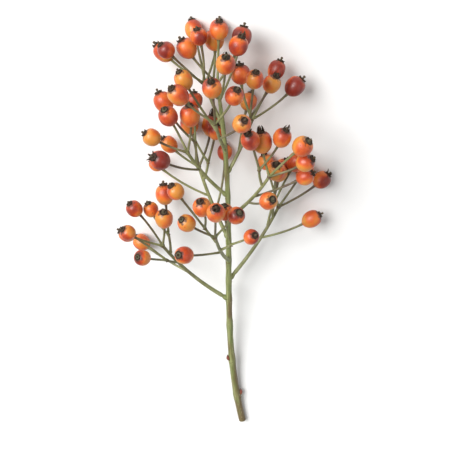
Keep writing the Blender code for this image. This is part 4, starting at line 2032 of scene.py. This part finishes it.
@dataclass
class Cane:
    """The main stem: its bark with nodes and collars, its buds and leaf scars, and its cut end."""

    growth: Growth
    sprig: Sprig
    shop: Workshop
    node: str = "main_stem"
    seed: int = 300
    whole: Pair = (0.0, 1.0)
    sides: int = 24
    spacing: float = 0.0008
    path_steps: int = 150
    node_swell: float = 1.16
    node_reach: float = 0.0045
    bark_lot: float = 0.3
    collar_overlap: float = 2.2
    collar_steps: tuple[float, ...] = (0.0, 0.3, 0.5, 0.68, 0.84, 1.0)
    collar_roots: Pair = (0.72, 0.90)
    collar_tips: tuple[float, ...] = (1.18, 1.05, 0.92, 0.72)
    collar_tones: Pair = (0.55, 0.7)
    first_collar_lot: float = 0.05
    collar_lot_step: float = 0.11
    bud_sides: int = 14
    bud_spacing: float = 0.00035
    bud_outline: tuple[float, ...] = (0.45, 0.80, 0.97, 1.0, 0.93, 0.80, 0.62, 0.42, 0.22, 0.05)
    bud_parts: tuple[BudPart, ...] = (BudPart(0, 1.0, 1.0), BudPart(-1, 0.62, 0.62), BudPart(1, 0.70, 0.62))
    bud_rise: float = 0.0004
    bud_length: float = 0.00484
    bud_width: float = 0.62
    bud_sink: float = 0.88
    bud_bow: float = 0.0008
    bud_bow_turn: float = math.radians(135)
    bud_clasp: float = 0.34
    scar_sides: int = 8
    scar_spacing: float = 0.0003
    scar_steps: int = 14
    scar_reach: float = math.radians(78)
    scar_narrowing: float = 1.1
    scar_depth: float = 0.0011
    scar_sink: float = 0.975
    scar_radii: Pair = (0.00005, 0.00017)
    scar_taper: float = 0.6
    bud_scar_drop: float = 0.0006
    spray_scar_drop: float = 0.0004
    cut_sides: int = 32
    cut_profile: Profile = (
        (0.0, -0.0004), (0.93, -0.0004), (0.985, 0.00002), (0.94, 0.00016), (0.72, 0.00020),
        (0.48, 0.00018), (0.30, 0.00010), (0.0, 0.00008),
    )

    def __post_init__(self) -> None:
        """Seeds the cane's own draws."""
        self.draw = random.Random(self.seed)

    def build(self) -> None:
        """Builds the cane's pieces and hands them over."""
        self.build_bark()
        self.build_buds()
        self.build_scars()
        self.build_cut()

    def buds(self) -> list[tuple[float, Vector]]:
        """Finds where the buds are.

        Returns:
            Each bud's place along the cane, and the way that is outwards there.
        """
        grower = Grower(self.growth)
        found = []
        for number, place in enumerate(self.growth.bud_places):
            heading = self.sprig.stem.heading(place)
            bearing = number * self.growth.leaf_turn
            turned = grower.turned_from(heading, bearing, self.growth.bud_divergence)
            found.append((place, (turned - heading * turned.dot(heading)).normalized()))
        return found

    def length(self) -> float:
        """The cane's length."""
        return line_length(self.sprig.stem.points)

    def width(self, share: float) -> float:
        """The cane's radius, which swells at the nodes.

        Args:
            share: How far up the cane, from 0 to 1.

        Returns:
            The radius there.
        """
        places = [*self.growth.bud_places, *(joint.place for joint in self.sprig.joints)]
        near = min(abs(share - place) * self.length() for place in places)
        swell = 1 + (self.node_swell - 1) * fade(near, self.node_reach)
        return between(self.growth.stem_radii, share) * swell

    def build_bark(self) -> None:
        """Builds the cane and the collars that carry the side sprays."""
        tubes = Tubes()
        shares = [step / self.path_steps for step in range(self.path_steps + 1)]
        points = [self.sprig.stem.at(share) for share in shares]
        tubes.add(points, [self.width(share) for share in shares], self.whole, self.bark_lot)
        for number, joint in enumerate(self.sprig.joints):
            start, end = joint.collar.points
            reach = 1 + self.growth.joint_gap * self.collar_overlap / (end - start).length
            line = [start.lerp(end, share * reach) for share in self.collar_steps]
            root, tip = joint.collar.radii
            cap, foot = self.collar_roots
            radii = [root * cap, max(root * foot, tip), *(tip * share for share in self.collar_tips)]
            tubes.add(line, radii, self.collar_tones, self.first_collar_lot + self.collar_lot_step * number)
        made = self.shop.join("cane_bark", tubes, self.spacing, self.sides, CaneBark())
        hand_over(made, STEM_SLOT, self.node)

    def build_buds(self) -> None:
        """Builds the bud in each leaf axil: a pointed core and two scales that clasp its sides."""
        tubes = Tubes()
        stem, thickness = self.sprig.stem, self.growth.bud_radius
        steps = len(self.bud_outline) - 1
        for place, outwards in self.buds():
            heading = stem.heading(place)
            across = heading.cross(outwards).normalized()
            for part in self.bud_parts:
                path = []
                for step in range(steps + 1):
                    share = step / steps
                    rise = heading * (self.bud_rise + self.bud_length * part.length * share)
                    bow = self.bud_bow * math.sin(self.bud_bow_turn * share)
                    lift = outwards * (self.width(place) * self.bud_sink + bow)
                    clasp = across * part.side * thickness * self.bud_clasp * (1 - share * share)
                    path.append(stem.at(place) + rise + lift + clasp)
                radii = [thickness * self.bud_width * part.width * share for share in self.bud_outline]
                tubes.add(path, radii, self.whole, self.draw.random())
        made = self.shop.join("cane_buds", tubes, self.bud_spacing, self.bud_sides, BudSkin())
        hand_over(made, STEM_SLOT, self.node)

    def build_scars(self) -> None:
        """Builds the thin crescent that a fallen leaf left under each bud and each side spray."""
        tubes = Tubes()
        places = [(place, outwards, self.bud_scar_drop) for place, outwards in self.buds()]
        places += [(joint.place, joint.outwards, self.spray_scar_drop) for joint in self.sprig.joints]
        for place, outwards, drop in places:
            across = self.sprig.stem.heading(place).cross(outwards).normalized()
            path, radii = [], []
            for step in range(self.scar_steps + 1):
                angle = self.scar_reach * (2 * step / self.scar_steps - 1)
                arch = math.cos(angle * self.scar_narrowing)
                share = place - (drop + self.scar_depth * arch) / self.length()
                side = outwards * math.cos(angle) + across * math.sin(angle)
                path.append(self.sprig.stem.at(share) + side * self.width(share) * self.scar_sink)
                radii.append(between(self.scar_radii, arch**self.scar_taper))
            tubes.add(path, radii, self.whole, self.draw.random())
        made = self.shop.join("cane_scars", tubes, self.scar_spacing, self.scar_sides, DryScale())
        hand_over(made, STEM_SLOT, self.node)

    def build_cut(self) -> None:
        """Builds the pale cut end, a shallow dish just proud of the bark's cap."""
        stem = self.sprig.stem
        radius = self.width(0)
        shape = bmesh.new()
        lathe(shape, [(r * radius, z) for r, z in self.cut_profile], self.cut_sides)
        mesh = mesh_of(shape, "cane_cut")
        places = [(vertex.co.x / radius, vertex.co.y / radius, 0) for vertex in mesh.vertices]
        store(mesh, "cut_place", Domain.VECTOR, places)
        mesh.transform(Matrix.Translation(stem.points[0]) @ aimed(-stem.heading(0), 0).to_4x4())
        rest_on_table(mesh)
        made = new_object("cane_cut", mesh)
        made.data.materials.append(CutWood().make())
        hand_over(made, STEM_SLOT, self.node)


@dataclass(frozen=True)
class Lamp:
    """A broad soft light, so far away that it lights the whole floor evenly.

    It stands in the direction given from the sprig, looks as wide from there as its spread, and its
    strength is in watts for each square metre.
    """

    name: str
    direction: Vector
    spread: float
    strength: float

    def build(self) -> None:
        """Adds the light to the scene."""
        data = bpy.data.lights.new(self.name, "SUN")
        data.angle = self.spread
        data.energy = self.strength
        lamp = bpy.data.objects.new(self.name, data)
        lamp.location = self.direction
        lamp.rotation_euler = (-self.direction).to_track_quat("-Z", "Y").to_euler()
        bpy.context.scene.collection.objects.link(lamp)


@dataclass
class Studio:
    """The pale floor, the soft lights and the camera."""

    floor_size: float = 6.0
    floor_height: float = -0.0001
    key_light: Lamp = Lamp("key_light", Vector((-0.75, 0.62, 0.92)), math.radians(40), 4.4)
    fill_light: Lamp = Lamp("fill_light", Vector((0.9, -0.1, 0.9)), math.radians(42), 0.45)
    sky: Colour = (1.0, 1.0, 1.0, 1.0)
    sky_strength: float = 0.32
    target: Vector = field(default_factory=lambda: Vector((0.0, 0.014, 0.022)))
    tilt: float = math.radians(27)
    distance: float = 0.70
    lens: float = 95.0

    def build(self) -> None:
        """Builds the whole studio."""
        self.build_floor()
        self.build_lights()
        self.build_camera()

    def build_floor(self) -> None:
        """The floor is just under the table's height, so that no piece lies in its plane."""
        half = self.floor_size / 2
        shape = bmesh.new()
        corners = [(-half, -half), (half, -half), (half, half), (-half, half)]
        shape.faces.new([shape.verts.new((x, y, self.floor_height)) for x, y in corners])
        mesh = bpy.data.meshes.new("floor")
        shape.to_mesh(mesh)
        shape.free()
        floor = new_object("floor", mesh)
        floor.data.materials.append(PaleFloor().make())

    def build_lights(self) -> None:
        """A large key light from above the top left, a fill from the right, and an even sky."""
        self.key_light.build()
        self.fill_light.build()
        world = bpy.data.worlds.new("studio")
        world.use_nodes = True
        backdrop = world.node_tree.nodes["Background"]
        backdrop.inputs["Color"].default_value = self.sky
        backdrop.inputs["Strength"].default_value = self.sky_strength
        scene = bpy.context.scene
        scene.world = world
        scene.view_settings.view_transform = "Standard"
        scene.view_settings.look = "None"

    def build_camera(self) -> None:
        """The camera looks down on the sprig from the side of its top, with the top upwards."""
        data = bpy.data.cameras.new("camera")
        data.lens = self.lens
        camera = bpy.data.objects.new("camera", data)
        direction = Vector((0, math.sin(self.tilt), math.cos(self.tilt)))
        camera.location = self.target + direction * self.distance
        camera.rotation_euler = (-self.tilt, 0, 0)
        bpy.context.scene.collection.objects.link(camera)
        bpy.context.scene.camera = camera


def spray_nodes(growth: Growth) -> list[str]:
    """The solids of the sprays, from the lowest to the top one."""
    return [f"side_spray_{number + 1}" for number in range(len(growth.spray_hips))] + ["top_spray"]


def main() -> None:
    """Grows the sprig, builds its pieces in order, and sets up the studio."""
    logging.basicConfig(level=logging.INFO, format="%(name)s %(message)s")
    growth = Growth()
    sprig = Grower(growth).grow()
    LOG.info("grew %d hips on %d shoots", len(sprig.hips), len(sprig.shoots))
    shop = Workshop()
    Cane(growth, sprig, shop).build()
    for number, node in enumerate(spray_nodes(growth)):
        Spray(growth, sprig, shop, number, node).build()
    Studio().build()


if __name__ == "__main__":
    main()
